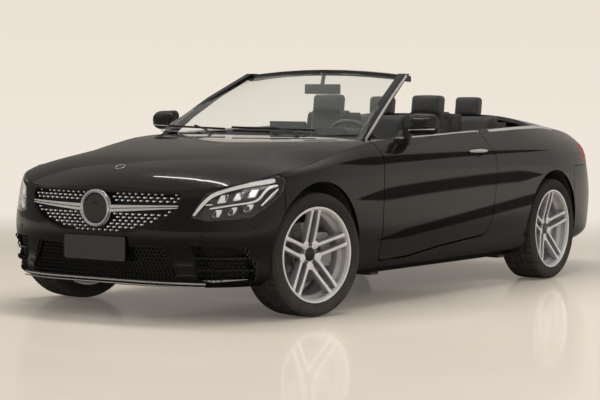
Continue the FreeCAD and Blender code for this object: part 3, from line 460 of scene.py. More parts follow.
class Probe:
    """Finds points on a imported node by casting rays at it."""

    def __init__(self, node: str) -> None:
        """Gather the faces of a node."""
        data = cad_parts[node].data
        points = [vertex.co.copy() for vertex in data.vertices]
        self.tree = BVHTree.FromPolygons(points, [list(face.vertices) for face in data.polygons])

    def hit(self, start: Point, way: Vector) -> Optional[tuple[Vector, Vector]]:
        """The first point met from a start, and the outward direction there."""
        place, normal, _, _ = self.tree.ray_cast(Vector(start), way.normalized())
        if place is None:
            return None
        return place, normal if normal.dot(way) < 0 else -normal

    def along(self, starts: Iterable[Point], way: Vector, lift: float = 0.0) -> list[Vector]:
        """The points met from a row of starts, each lifted off the surface."""
        met = [self.hit(start, way) for start in starts]
        return [place + normal * lift for place, normal in filter(None, met)]


@dataclass(frozen=True)
class PaintedFlankBand:
    """A painted dark reflection band along the flank: its height, slope, bow, half width, taper and ends, in
    metres.
    """

    height: float
    slope: float
    bow: float
    half: float
    taper: float
    first: float
    last: float


# Painted shade: the paint's gloss is taken away along these bands, so they render as dark lines that stand in
# for the dark reflections along the flank's creases.
PAINTED_FLANK_BANDS = (PaintedFlankBand(0.836, 0.0145, -0.006, 0.015, -0.009, -1.28, 1.18),
               PaintedFlankBand(0.6675, 0.034, -0.012, 0.037, 0.0, -1.12, 1.0),
               PaintedFlankBand(0.456, 0.083, 0.0, 0.03, 0.006, -0.9, 1.3))
FLANK_PLACE = (0.78, 0.82)  # how far out the flank starts, where the bands fade in
FLANK_SHADE = 0.9  # the share of the paint's gloss that a band takes away
LEAST = 0.02  # the width that is left of a band beyond its ends, as a share
DUST_TOP = 0.55
DUST_COLOUR = (0.24, 0.2, 0.15)
Colour = tuple[float, float, float]
Socket = bpy.types.NodeSocket
Sockets = bpy.types.bpy_prop_collection
Inputs = dict[Union[int, str], object]


class Nodes:
    """Lays shader nodes in a tree; every value may be plain or the socket of a node."""

    def __init__(self, tree: bpy.types.NodeTree) -> None:
        """Take the tree that the nodes go into."""
        self.tree = tree

    def fill(self, node: bpy.types.Node, values: Inputs) -> bpy.types.Node:
        """Give the inputs of a node their values."""
        for slot, value in values.items():
            if isinstance(value, Socket):
                self.tree.links.new(value, node.inputs[slot])
            else:
                node.inputs[slot].default_value = value
        return node

    def add(self, kind: str, values: Optional[Inputs] = None, **settings: object) -> bpy.types.Node:
        """A new node.

        Args:
            kind: the node's type, without its first word.
            values: what its inputs get.
            settings: its own settings.

        Returns:
            The node.
        """
        node = self.tree.nodes.new("ShaderNode" + kind)
        for name, value in settings.items():
            setattr(node, name, value)
        return self.fill(node, values or {})

    def sum_of(self, operation: str, *values: object, clamp: bool = False) -> Socket:
        """One sum on some values."""
        return self.add("Math", dict(enumerate(values)), operation=operation, use_clamp=clamp).outputs[0]

    def ramp(self, value: Socket, low: float, high: float, kind: str = "SMOOTHSTEP") -> Socket:
        """A climb from 0 at the low value to 1 at the high one."""
        values = {"Value": value, "From Min": low, "From Max": high}
        return self.add("MapRange", values, interpolation_type=kind).outputs["Result"]

    def mixed(self, factor: Socket, *colours: Union[Colour, Socket]) -> Socket:
        """A mix of two colours, the second shown where the factor is 1."""
        first, second = (value if isinstance(value, Socket) else (*value, 1) for value in colours)
        values = {"Factor": factor, "A": first, "B": second}
        return self.add("Mix", values, data_type="RGBA").outputs["Result"]

    def noise(self, given: Sockets, detail: float) -> Socket:
        """Noise at the place and the scale that a group is given."""
        values = {"Vector": given["Vector"], "Scale": given["Scale"], "Detail": detail}
        return self.add("TexNoise", values).outputs["Fac"]

    def axes(self, place: Socket) -> Sockets:
        """The X, Y and Z of a place."""
        return self.add("SeparateXYZ", {"Vector": place}).outputs

    def place(self) -> Socket:
        """The place on the object."""
        return self.add("TexCoord").outputs["Object"]

    def effect(self, name: str, place: Socket, **values: object) -> Socket:
        """What a shared effect gives at a place, with some values of its own."""
        node = self.add("Group", node_tree=Effects.group(name))
        return self.fill(node, {"Vector": place, **values}).outputs[0]

    def in_gloss(self) -> Socket:
        """1 for a ray that was mirrored, and 0 for one that came straight or through glass."""
        ray = self.add("LightPath").outputs
        return self.sum_of("SUBTRACT", ray["Is Glossy Ray"], ray["Is Transmission Ray"], clamp=True)


class Effects:
    """Shader node groups that the finishes share, each built once by the method of its name."""

    _made: dict[str, bpy.types.NodeTree] = {}
    _inputs: dict[str, dict[str, object]] = {
        "spread": {"Scale": 8.0, "Spread": 0.1, "Middle": 0.4},
        "painted_flank_bands": {},
        "tone": {"Scale": 20.0, "Colour": (1, 1, 1, 1), "Second": (1, 1, 1, 1), "Dust": 0.0},
        "pebble": {"Scale": 600.0},
        "ripple": {"Scale": 300.0},
        "weave": {"Scale": 300.0},
    }

    @classmethod
    def group(cls, name: str) -> bpy.types.NodeTree:
        """One effect as a node group.

        Args:
            name: the effect's name.

        Returns:
            The group, which takes a place and the effect's own inputs, and gives one value.
        """
        if name in cls._made:
            return cls._made[name]
        tree = bpy.data.node_groups.new(name, "ShaderNodeTree")
        tree.interface.new_socket(name="Vector", in_out="INPUT", socket_type="NodeSocketVector")
        for label, value in cls._inputs[name].items():
            kind = "NodeSocketFloat" if isinstance(value, float) else "NodeSocketColor"
            socket = tree.interface.new_socket(name=label, in_out="INPUT", socket_type=kind)
            socket.default_value = value
        kind = "NodeSocketColor" if name == "tone" else "NodeSocketFloat"
        tree.interface.new_socket(name="Result", in_out="OUTPUT", socket_type=kind)
        given = tree.nodes.new("NodeGroupInput").outputs
        end = tree.nodes.new("NodeGroupOutput")
        tree.links.new(getattr(cls, name)(Nodes(tree), given), end.inputs[0])
        cls._made[name] = tree
        return tree

    @staticmethod
    def spread(nodes: Nodes, given: Sockets) -> Socket:
        """A value that wanders a little over the surface, for roughness."""
        centred = nodes.sum_of("SUBTRACT", nodes.noise(given, 4), 0.5)
        return nodes.sum_of("MULTIPLY_ADD", centred, given["Spread"], given["Middle"])

    @staticmethod
    def painted_flank_bands(nodes: Nodes, given: Sockets) -> Socket:
        """A mask of the painted dark reflection bands along the flanks, whose height follows the car's
        length.
        """
        total, ramp = nodes.sum_of, nodes.ramp
        parts = nodes.axes(given["Vector"])
        y, z = parts["Y"], parts["Z"]
        shown = None
        for line in PAINTED_FLANK_BANDS:
            middle = total("MULTIPLY_ADD", y, total("MULTIPLY_ADD", y, line.bow, line.slope), line.height)
            begun = ramp(y, line.first - 0.2, line.first + 0.3)
            ended = total("SUBTRACT", 1.0, ramp(y, line.last - 0.3, line.last + 0.2))
            along = total("MAXIMUM", total("MULTIPLY", begun, ended), LEAST)
            reach = total("MULTIPLY", total("MULTIPLY_ADD", y, line.taper, line.half), along)
            off = total("DIVIDE", total("ABSOLUTE", total("SUBTRACT", z, middle)), reach)
            inside = total("SUBTRACT", 1.0, ramp(off, 0.72, 1.25))
            mask = total("MULTIPLY", inside, ramp(along, LEAST, 0.25))
            shown = total("MAXIMUM", shown, mask) if shown else mask
        return total("MULTIPLY", shown, ramp(total("ABSOLUTE", parts["X"]), *FLANK_PLACE))

    @staticmethod
    def tone(nodes: Nodes, given: Sockets) -> Socket:
        """A colour that wanders between two close ones, with dust low down."""
        noise = nodes.noise(given, 5)
        low = nodes.ramp(nodes.axes(given["Vector"])["Z"], DUST_TOP, 0.0, "LINEAR")
        patchy = nodes.sum_of("MULTIPLY", nodes.sum_of("MULTIPLY", low, given["Dust"]), noise)
        return nodes.mixed(patchy, nodes.mixed(noise, given["Colour"], given["Second"]), DUST_COLOUR)

    @staticmethod
    def pebble(nodes: Nodes, given: Sockets) -> Socket:
        """The cells of hide or of a grained moulding, softened by finer noise, as a height."""
        cells = nodes.add("TexVoronoi", {"Vector": given["Vector"], "Scale": given["Scale"]},
                          feature="DISTANCE_TO_EDGE")
        rim = nodes.ramp(cells.outputs["Distance"], 0.0, 0.25, "LINEAR")
        return nodes.sum_of("MULTIPLY_ADD", nodes.noise(given, 2), 0.4, rim)

    @staticmethod
    def ripple(nodes: Nodes, given: Sockets) -> Socket:
        """Fine noise as a height, for paint, metal and rubber."""
        return nodes.noise(given, 3)

    @staticmethod
    def weave(nodes: Nodes, given: Sockets) -> Socket:
        """The crossed threads of a textile, as a height."""
        values = {"Vector": given["Vector"], "Scale": given["Scale"]}
        bands = [nodes.add("TexWave", values, bands_direction=way).outputs["Fac"] for way in ("X", "Y")]
        return nodes.sum_of("MAXIMUM", *bands)


class Relief(Enum):
    """The kinds of fine surface relief, by the effect that makes them."""

    RIPPLE = "ripple"
    PEBBLE = "pebble"
    WEAVE = "weave"


@dataclass(frozen=True)
class Finish:
    """One surface finish, worked out as a node material."""

    name: str
    colour: Colour
    second: Colour
    roughness: float
    spread: float = 0.08
    metallic: float = 0.0
    coat: float = 0.0
    coat_roughness: float = 0.03
    clear: float = 0.0
    index: float = 1.5
    sheen: float = 0.0
    glow: float = 0.0
    specular: float = 0.5
    # Whether the gloss is taken away in the flank bands, which paint dark reflection lines on the flanks.
    painted_bands: bool = False
    dust: float = 0.0
    relief: Relief = Relief.RIPPLE
    relief_scale: float = 300.0
    relief_depth: float = 0.0
    tone_scale: float = 20.0
    stretch: tuple[float, float, float] = (1.0, 1.0, 1.0)

    def material(self) -> bpy.types.Material:
        """The finish as a Blender material, made at its first use.

        Returns:
            The material.
        """
        made = bpy.data.materials.get(self.name)
        if made:
            return made
        made = bpy.data.materials.new(self.name)
        made.use_nodes = True
        nodes = Nodes(made.node_tree)
        place = nodes.place()
        stretched = nodes.add("Mapping", {"Vector": place, "Scale": self.stretch}).outputs["Vector"]
        shader = nodes.fill(made.node_tree.nodes["Principled BSDF"], {
            "Base Color": nodes.effect("tone", place, Scale=self.tone_scale, Colour=(*self.colour, 1),
                                       Second=(*self.second, 1), Dust=self.dust),
            "Roughness": nodes.effect("spread", stretched, Scale=self.tone_scale * 2, Spread=self.spread,
                                      Middle=self.roughness),
            "Metallic": self.metallic,
            "Coat Weight": self.coat,
            "Coat Roughness": self.coat_roughness,
            "Transmission Weight": self.clear,
            "IOR": self.index,
            "Sheen Weight": self.sheen,
            "Specular IOR Level": self.specular,
            "Emission Color": (*self.second, 1),
            "Emission Strength": self.glow,
        })
        # Painted shade: coat and specular are lowered inside the flank bands, so these render as dark
        # reflection lines.
        if self.painted_bands:
            lines = nodes.effect("painted_flank_bands", place)
            for label, most in (("Coat Weight", self.coat), ("Specular IOR Level", self.specular)):
                left = nodes.sum_of("MULTIPLY_ADD", lines, -FLANK_SHADE * most, most)
                nodes.fill(shader, {label: left})
        if self.relief_depth:
            height = nodes.effect(self.relief.value, stretched, Scale=self.relief_scale)
            bump = nodes.add("Bump", {"Height": height, "Distance": self.relief_depth, "Strength": 1.0})
            nodes.fill(shader, {"Normal": bump.outputs["Normal"]})
        return made


PAINT = Finish("black_paint", (0.0035, 0.0034, 0.0034), (0.0055, 0.0052, 0.0052), 0.22, 0.05, 0.0, 1.0, 0.015,
               relief_scale=900, relief_depth=0.000004, specular=0.12, painted_bands=True)
GLOSS = Finish("black_gloss_plastic", (0.004, 0.004, 0.004), (0.007, 0.007, 0.007), 0.12, 0.06, coat=0.6,
               relief_scale=500, relief_depth=0.000006)
GRAINED = Finish("grained_plastic", (0.016, 0.016, 0.016), (0.024, 0.023, 0.022), 0.55, 0.12,
                 relief=Relief.PEBBLE, relief_scale=700, relief_depth=0.0002, dust=0.1)
# Black for the grille's mesh and the pins' stems, and also for painted shade: the brake discs' hole dots, the
# bolts' recess rings and the tailpipes' inner discs.
BLACK_MESH_AND_SHADE = Finish("mesh_black", (0.006, 0.006, 0.006), (0.012, 0.012, 0.012), 0.35, 0.1,
                    relief_scale=400, relief_depth=0.00005)
COATED = Finish("underbody_coat", (0.022, 0.022, 0.021), (0.04, 0.038, 0.035), 0.7, 0.15, dust=0.35,
                relief=Relief.PEBBLE, relief_scale=180, relief_depth=0.0006)
CAST = Finish("cast_metal", (0.18, 0.18, 0.18), (0.3, 0.29, 0.28), 0.5, 0.2, 0.85, dust=0.25,
              relief_scale=350, relief_depth=0.0005)
STEEL = Finish("exhaust_steel", (0.34, 0.33, 0.31), (0.46, 0.45, 0.43), 0.3, 0.2, 1.0, dust=0.3,
               relief_scale=120, relief_depth=0.0001, stretch=(1, 12, 1))
CHROME = Finish("bright_trim", (0.84, 0.84, 0.83), (0.9, 0.9, 0.89), 0.14, 0.06, 0.85,
                relief_scale=60, relief_depth=0.00001)
# The bright strips glow faintly (glow 0.06): a painted highlight over their real metal finish.
GLOWING_BRIGHTWORK = Finish("polished_strip", (0.86, 0.86, 0.85), (0.92, 0.92, 0.91), 0.34, 0.06, 0.9, 0.5, 0.04,
                    relief_scale=60, relief_depth=0.00001, glow=0.06)
SATIN = Finish("satin_silver", (0.74, 0.74, 0.74), (0.84, 0.84, 0.83), 0.32, 0.08, 0.7,
               relief_scale=900, relief_depth=0.00001, stretch=(1, 20, 20))
ALLOY = Finish("silver_alloy", (0.66, 0.66, 0.67), (0.76, 0.76, 0.76), 0.34, 0.06, 0.6, 0.5, 0.05,
               relief_scale=700, relief_depth=0.00002, dust=0.05)
MACHINED = Finish("machined_face", (0.86, 0.86, 0.86), (0.93, 0.93, 0.92), 0.32, 0.08, 0.55, 0.5, 0.04,
                  relief_scale=600, relief_depth=0.00004, stretch=(20, 1, 1))
DARK_ALLOY = Finish("spoke_sides", (0.3, 0.3, 0.31), (0.4, 0.4, 0.41), 0.36, 0.08, 0.6, 0.5, 0.06,
                    relief_scale=700, relief_depth=0.00002, dust=0.1)
DISC = Finish("disc_face", (0.36, 0.35, 0.34), (0.52, 0.5, 0.48), 0.32, 0.15, 1.0,
              relief_scale=900, relief_depth=0.00008, stretch=(30, 1, 1))
CALIPER = Finish("caliper_paint", (0.4, 0.4, 0.41), (0.52, 0.52, 0.52), 0.38, 0.1, 0.7, 0.3,
                 relief_scale=500, relief_depth=0.0001, dust=0.1)
RUBBER = Finish("tyre_rubber", (0.012, 0.012, 0.012), (0.022, 0.021, 0.02), 0.68, 0.12, dust=0.2,
                relief_scale=900, relief_depth=0.00015)
GLASS = Finish("clear_glass", (0.93, 0.97, 0.95), (0.95, 0.98, 0.96), 0.0, 0.0, clear=1.0, index=1.25)
LENS = Finish("lamp_lens", (0.96, 0.97, 0.98), (0.98, 0.98, 0.99), 0.0, 0.0, clear=1.0, index=1.35)
MIRROR_GLASS = Finish("mirror_glass", (0.8, 0.82, 0.84), (0.84, 0.86, 0.87), 0.02, 0.01, 1.0)
RED = Finish("red_lens", (0.3, 0.004, 0.006), (0.42, 0.008, 0.01), 0.1, 0.04, coat=1.0,
             relief_scale=500, relief_depth=0.00003)
RED_CLEAR = Finish("red_cover", (0.75, 0.02, 0.03), (0.8, 0.03, 0.04), 0.03, 0.01, clear=1.0, index=1.4)
# The reflectors glow faintly (glow 0.16) while the lamp is unlit: a painted highlight on their metal.
GLOWING_REFLECTOR = Finish("lamp_reflector", (0.62, 0.63, 0.65), (0.74, 0.75, 0.76), 0.2, 0.1, 0.85,
                   relief_scale=200, relief_depth=0.00004, glow=0.16)
LIGHT_GUIDE = Finish("light_guide", (0.86, 0.88, 0.88), (0.92, 0.93, 0.93), 0.22, 0.08, coat=0.6,
                     relief_scale=350, relief_depth=0.00004)
LAMP_BED = Finish("lamp_bed", (0.02, 0.02, 0.022), (0.035, 0.035, 0.038), 0.25, 0.1, 0.3,
                  relief_scale=400, relief_depth=0.00004)
LEATHER = Finish("black_leather", (0.016, 0.016, 0.017), (0.026, 0.026, 0.027), 0.46, 0.12, sheen=0.15,
                 relief=Relief.PEBBLE, relief_scale=420, relief_depth=0.0005)
SOFT = Finish("soft_panel", (0.014, 0.014, 0.015), (0.021, 0.021, 0.022), 0.55, 0.12,
              relief=Relief.PEBBLE, relief_scale=650, relief_depth=0.0003)
CARPET = Finish("carpet", (0.012, 0.012, 0.012), (0.03, 0.029, 0.028), 0.95, 0.05, sheen=0.4,
                relief_scale=700, relief_depth=0.003)
TEXTILE = Finish("cover_textile", (0.014, 0.014, 0.015), (0.024, 0.024, 0.025), 0.85, 0.08, sheen=0.3,
                 relief=Relief.WEAVE, relief_scale=260, relief_depth=0.0006)
SCREEN = Finish("display_glass", (0.004, 0.004, 0.005), (0.007, 0.007, 0.008), 0.06, 0.02, coat=1.0,
                relief_scale=60, relief_depth=0.000002)
PLATE = Finish("plate_black", (0.028, 0.027, 0.026), (0.036, 0.034, 0.033), 0.42, 0.1,
               relief_scale=240, relief_depth=0.00008)
BLADE = Finish("wiper_rubber", (0.008, 0.008, 0.008), (0.013, 0.013, 0.013), 0.5, 0.1,
               relief_scale=300, relief_depth=0.00005)


def coat(piece: Mesh, *finishes: Finish) -> Mesh:
    """Give a piece one or more finishes, the first for all of its faces."""
    for finish in finishes:
        piece.data.materials.append(finish.material())
    return piece


def dress(piece: Mesh, finish: Finish, body: str = Body.ROOT.value,
          stands_for: Sequence[str] = ()) -> Mesh:
    """Give a new piece its finish, its body and the nodes that it stands for.

    Args:
        piece: the piece.
        finish: its finish.
        body: the body that it rides on.
        stands_for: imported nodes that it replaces.

    Returns:
        The piece.
    """
    if not piece.data.materials:
        coat(piece, finish)
    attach(piece, body)
    if stands_for:
        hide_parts(*stands_for)
    LOG.info("%s rides on %s: %d faces", piece.name, body, len(piece.data.polygons))
    return piece


def dress_nodes(finish: Finish, *nodes: str) -> None:
    """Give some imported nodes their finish."""
    for node in nodes:
        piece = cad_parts[node]
        piece.data.materials.clear()
        coat(piece, finish)
        LOG.info("node %s keeps its shape", node)


def two_tone(piece: Mesh, body: Finish, other: Finish,
             chosen: Callable[[bpy.types.MeshPolygon], bool]) -> None:
    """Give a piece one finish, and another where a test says so."""
    for face in coat(piece, body, other).data.polygons:
        face.material_index = 1 if chosen(face) else 0


def lay_strip(name: str, path: Sequence[Vector], up: Upward, ring: Outline, finish: Finish,
              body: str = Body.ROOT.value) -> None:
    """Sweep a section along a path on the car and dress it, where the path has enough points.

    Args:
        name: the strip's name.
        path: the points of its path.
        up: the section's second direction, or a function that gives it.
        ring: the section.
        finish: the strip's finish.
        body: the body that it rides on.
    """
    if len(path) < FEWEST:
        LOG.warning("%s is left out: its path has %d points", name, len(path))
        return
    dress(Bench.smooth(Bench.swept(name, path, up, ring)), finish, body)


@dataclass
class Studio:
    """The pale room that the car stands in, its lamps and its camera."""

    floor_radius: float = 60.0
    wall_radius: float = 58.0
    wall_height: float = 34.0
    cream: Colour = (0.807, 0.723, 0.623)
    far_cream: Colour = (0.86, 0.79, 0.7)
    open_end: Colour = (0.34, 0.31, 0.28)
    in_gloss: Colour = (0.12, 0.11, 0.098)
    # Painted shadow: the floor's colour in gloss close to the car, near black for the car's shade on it.
    painted_shadow_in_gloss: Colour = (0.02, 0.018, 0.016)
    far_in_gloss: Colour = (0.42, 0.375, 0.33)
    cream_height: float = 9.0
    open_way: tuple[float, float, float] = (0.82, 0.57, 0)
    open_edge: tuple[float, float] = (-20.0, 30.0)
    sky: Colour = (1.0, 0.965, 0.92)
    sky_in_gloss: Colour = (0.34, 0.325, 0.31)
    sky_strength: float = 0.74
    focal: float = 110.92
    floor_glow: float = 0.14
    camera_place: tuple[float, float, float] = (6.0722, -9.7639, 1.0986)
    camera_yaw: float = 122.952
    camera_pitch: float = -2.842
    camera_roll: float = 0.6345

    def build(self) -> None:
        """Make the room, the lamps and the camera."""
        self._room()
        self._lamps()
        self._camera()

    def _room(self) -> None:
        """A round floor and the wall that stands round it."""
        floor = Bench.primitive("circle", "floor", vertices=96, radius=self.floor_radius, fill_type="TRIFAN")
        floor.data.materials.append(self._floor_finish())
        wall = Bench.primitive("cylinder", "backdrop", vertices=96, radius=self.wall_radius,
                               depth=self.wall_height, end_fill_type="NOTHING",
                               location=(0, 0, self.wall_height / 2))
        wall.data.materials.append(self._wall_finish())
        wall.visible_shadow = False
        wall.visible_diffuse = False

    def _floor_finish(self) -> bpy.types.Material:
        """A pale polished floor with faint cloudy marks, which glows like the wall further out. Seen in gloss
        it is almost black near the car: painted shadow of the car on it.
        """
        made = bpy.data.materials.new("studio_floor")
        made.use_nodes = True
        nodes = Nodes(made.node_tree)
        place, gloss = nodes.place(), nodes.in_gloss()
        tone = nodes.effect("tone", place, Scale=0.35, Colour=(*self.cream, 1), Second=(*self.far_cream, 1),
                            Dust=0.0)
        # In gloss the floor runs from painted shadow near the car to a dimmer cream further out.
        in_gloss = nodes.mixed(self._away(nodes, place, 2.6, 8.0), self.painted_shadow_in_gloss, self.far_in_gloss)
        colour = nodes.mixed(gloss, tone, in_gloss)
        shader = nodes.fill(made.node_tree.nodes["Principled BSDF"], {
            "Base Color": colour,
            "Roughness": nodes.effect("spread", place, Scale=0.8, Spread=0.12, Middle=0.3),
            "Specular IOR Level": 0.5,
            "Coat Weight": 0.55,
            "Coat Roughness": 0.07,
            "Emission Color": colour,
            "Emission Strength": self.floor_glow,
        })
        glow = nodes.add("Emission", {"Color": nodes.mixed(gloss, self.far_cream, self.far_in_gloss)})
        mix = nodes.add("MixShader", {"Fac": self._away(nodes, place, 2.7, 8.5), 1: shader.outputs["BSDF"],
                                      2: glow.outputs["Emission"]})
        nodes.fill(made.node_tree.nodes["Material Output"], {"Surface": mix.outputs["Shader"]})
        return made

    @staticmethod
    def _away(nodes: Nodes, place: Socket, near: float, far: float) -> Socket:
        """A mask that grows from 0 to 1 between two distances from the car's middle."""
        length = nodes.add("VectorMath", {0: place}, operation="LENGTH")
        return nodes.ramp(length.outputs["Value"], near, far)

    def _wall_finish(self) -> bpy.types.Material:
        """A wall that shows its colour to the camera and through glass, and a darker one to gloss.

        One stretch of it, off to the car's rear left, is lighter for gloss, as the open end of the
        room is.
        """
        made = bpy.data.materials.new("studio_wall")
        made.use_nodes = True
        nodes = Nodes(made.node_tree)
        made.node_tree.nodes.remove(made.node_tree.nodes["Principled BSDF"])
        place = nodes.place()
        height = nodes.ramp(nodes.axes(place)["Z"], 0.0, self.cream_height, "LINEAR")
        shown = nodes.mixed(height, self.far_cream, self.cream)
        side = nodes.add("VectorMath", {0: place, 1: self.open_way}, operation="DOT_PRODUCT")
        opened = nodes.ramp(side.outputs["Value"], *self.open_edge)
        mirrored = nodes.mixed(opened, self.in_gloss, self.open_end)
        glow = nodes.add("Emission", {"Color": nodes.mixed(nodes.in_gloss(), shown, mirrored)})
        nodes.fill(made.node_tree.nodes["Material Output"], {"Surface": glow.outputs["Emission"]})
        return made

    def _lamps(self) -> None:
        """A plain soft room light, three soft boxes and a thin strip that shows in the paint."""
        world = bpy.data.worlds.new("studio_world")
        world.use_nodes = True
        nodes = Nodes(world.node_tree)
        sky = nodes.mixed(nodes.in_gloss(), self.sky, self.sky_in_gloss)
        nodes.fill(world.node_tree.nodes["Background"], {"Color": sky, "Strength": self.sky_strength})
        bpy.context.scene.world = world
        for name, place, aim, size, power in (
                ("roof_box", (0.0, -0.6, 5.2), (0, 0, 0.6), (5.2, 1.3), 230.0),
                ("roof_strip", (0.0, -0.6, 5.3), (0, 0, 0.6), (5.2, 0.16), 34.0),
                ("front_box", (-3.2, -7.0, 3.4), (0, -1.6, 0.6), (1.4, 3.4), 70.0),
                ("side_box", (7.5, -2.5, 3.6), (0.4, -0.4, 0.5), (5.0, 0.9), 90.0)):
            Bench.clear()
            bpy.ops.object.light_add(type="AREA", location=place)
            lamp = bpy.context.object
            lamp.name = name
            lamp.data.shape = "RECTANGLE"
            lamp.data.size, lamp.data.size_y = size
            lamp.data.energy = power
            lamp.data.color = (1.0, 0.97, 0.93)
            lamp.visible_glossy = name == "roof_strip"
            way = Vector(aim) - Vector(place)
            lamp.rotation_euler = way.to_track_quat("-Z", "Y").to_euler()

    def _camera(self) -> None:
        """The camera, at the photograph's place and angle."""
        yaw, pitch, roll = map(math.radians, (self.camera_yaw, self.camera_pitch, self.camera_roll))
        ahead = Vector((math.cos(pitch) * math.cos(yaw), math.cos(pitch) * math.sin(yaw), math.sin(pitch)))
        level = ahead.cross(Z).normalized()
        over = level.cross(ahead)
        right = level * math.cos(roll) + over * math.sin(roll)
        up = over * math.cos(roll) - level * math.sin(roll)
        turn = Matrix((right, up, -ahead)).transposed()
        Bench.clear()
        bpy.ops.object.camera_add(location=self.camera_place, rotation=turn.to_euler())
        camera = bpy.context.object
        camera.data.sensor_width = 36.0
        camera.data.lens = self.focal
        camera.data.clip_end = 400.0
        bpy.context.scene.camera = camera
        bpy.context.scene.view_settings.view_transform = "Standard"


@dataclass
class Shell:
    """The outside panels and glass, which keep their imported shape."""

    pillar_line: tuple = ((0.9, -0.905), (1.032, -0.7), (1.16, -0.47), (1.312, -0.15))
    wiper_places: tuple = (("wiper_left", (0.42, -1.01), (-0.16, -0.955)),
                           ("wiper_right", (-0.2, -1.02), (-0.66, -0.9)))

    def dress(self) -> None:
        """Give every packed panel its finish."""
        dress_nodes(PAINT, "front_bumper", "front_wings", "rear_quarters", "rear_bumper", "bonnet",
                    "boot_lid", "door_left", "door_right", "sills")
        dress_nodes(GLOSS, "windscreen_frame")
        dress_nodes(GLASS, "windscreen")
        dress_nodes(GRAINED, "cowl")
        dress_nodes(GLOWING_BRIGHTWORK, "waist_trim")
        dress_nodes(TEXTILE, "tonneau")
        dress_nodes(PLATE, "number_plate")
        dress_nodes(BLACK_MESH_AND_SHADE, "intake_grilles", "grille")
        dress_nodes(LAMP_BED, "headlamp_housings")
        dress_nodes(LENS, "headlamp_lenses")
        dress_nodes(RED, "tail_lamps")
        dress_nodes(CARPET, "boot_tub")
        dress_nodes(COATED, "wheel_housings", "underbody")
        dress_nodes(CAST, "engine_block", "front_suspension", "rear_suspension")
        dress_nodes(STEEL, "exhaust")
        dress_nodes(CALIPER, "knuckle_left", "knuckle_right")

    def pillar_trims(self) -> None:
        """The bright strips up the outside of the windscreen's pillars."""
        probe = Probe("windscreen_frame")
        heights = [0.922 + 0.378 * step / 32 for step in range(33)]
        for side in Side:
            sign = side.value
            starts = [(sign * 1.2, self.pillar_depth(height) + 0.036, height) for height in heights]
            met = [probe.hit(start, Vector((-sign, 0, 0))) for start in starts]
            path = [place + X * sign * 0.0012 for place, _ in filter(None, met)]
            lay_strip(f"pillar_trim_{side.word}", path, Vector((sign, 0, 0)),
                      bar_ring(0.009, 0.0016, 0.001), GLOWING_BRIGHTWORK)

    def pillar_depth(self, height: float) -> float:
        """How far back the front edge of the windscreen's pillars lies at a height."""
        for (low, first), (high, last) in zip(self.pillar_line, self.pillar_line[1:]):
            if height <= high:
                return first + (last - first) * (height - low) / (high - low)
        return self.pillar_line[-1][1]

    def wipers(self) -> None:
        """Two wipers parked along the foot of the windscreen."""
        probe = Probe("windscreen")
        blade_ring = rounded_ring([(-0.004, -0.006, 0.002), (0.004, -0.006, 0.002), (0.002, 0.006, 0.001),
                                   (-0.002, 0.006, 0.001)], 2)
        arm_ring = rounded_ring([(-0.009, -0.004, 0.003), (0.009, -0.004, 0.003), (0.007, 0.004, 0.003),
                                 (-0.007, 0.004, 0.003)], 2)
        boss_profile = [(0, 0), (0, 0.016), (0.018, 0.014), (0.024, 0.009), (0.024, 0)]
        for name, pivot, tip in self.wiper_places:
            starts = [(pivot[0] + (tip[0] - pivot[0]) * (step / 16), -1.6, 0.965 + 0.01 * (step / 16))
                      for step in range(17)]
            path = probe.along(starts, Y, 0.01)
            lay_strip(name + "_blade", path, Z, blade_ring, BLADE)
            start = Vector((pivot[0], pivot[1] + 0.005, 0.925))
            middle = path[len(path) // 2] + Vector((0, -0.006, 0.012))
            bent = resampled([start, start.lerp(middle, 0.4) + Z * 0.016, middle], 14)
            arm = Bench.swept(name + "_arm", bent, Z, arm_ring)
            boss = Bench.turned(name + "_boss", boss_profile, start - Z * 0.012, Z, 24)
            dress(Bench.smooth(Bench.joined(name + "_arm", [arm, boss])), GRAINED)


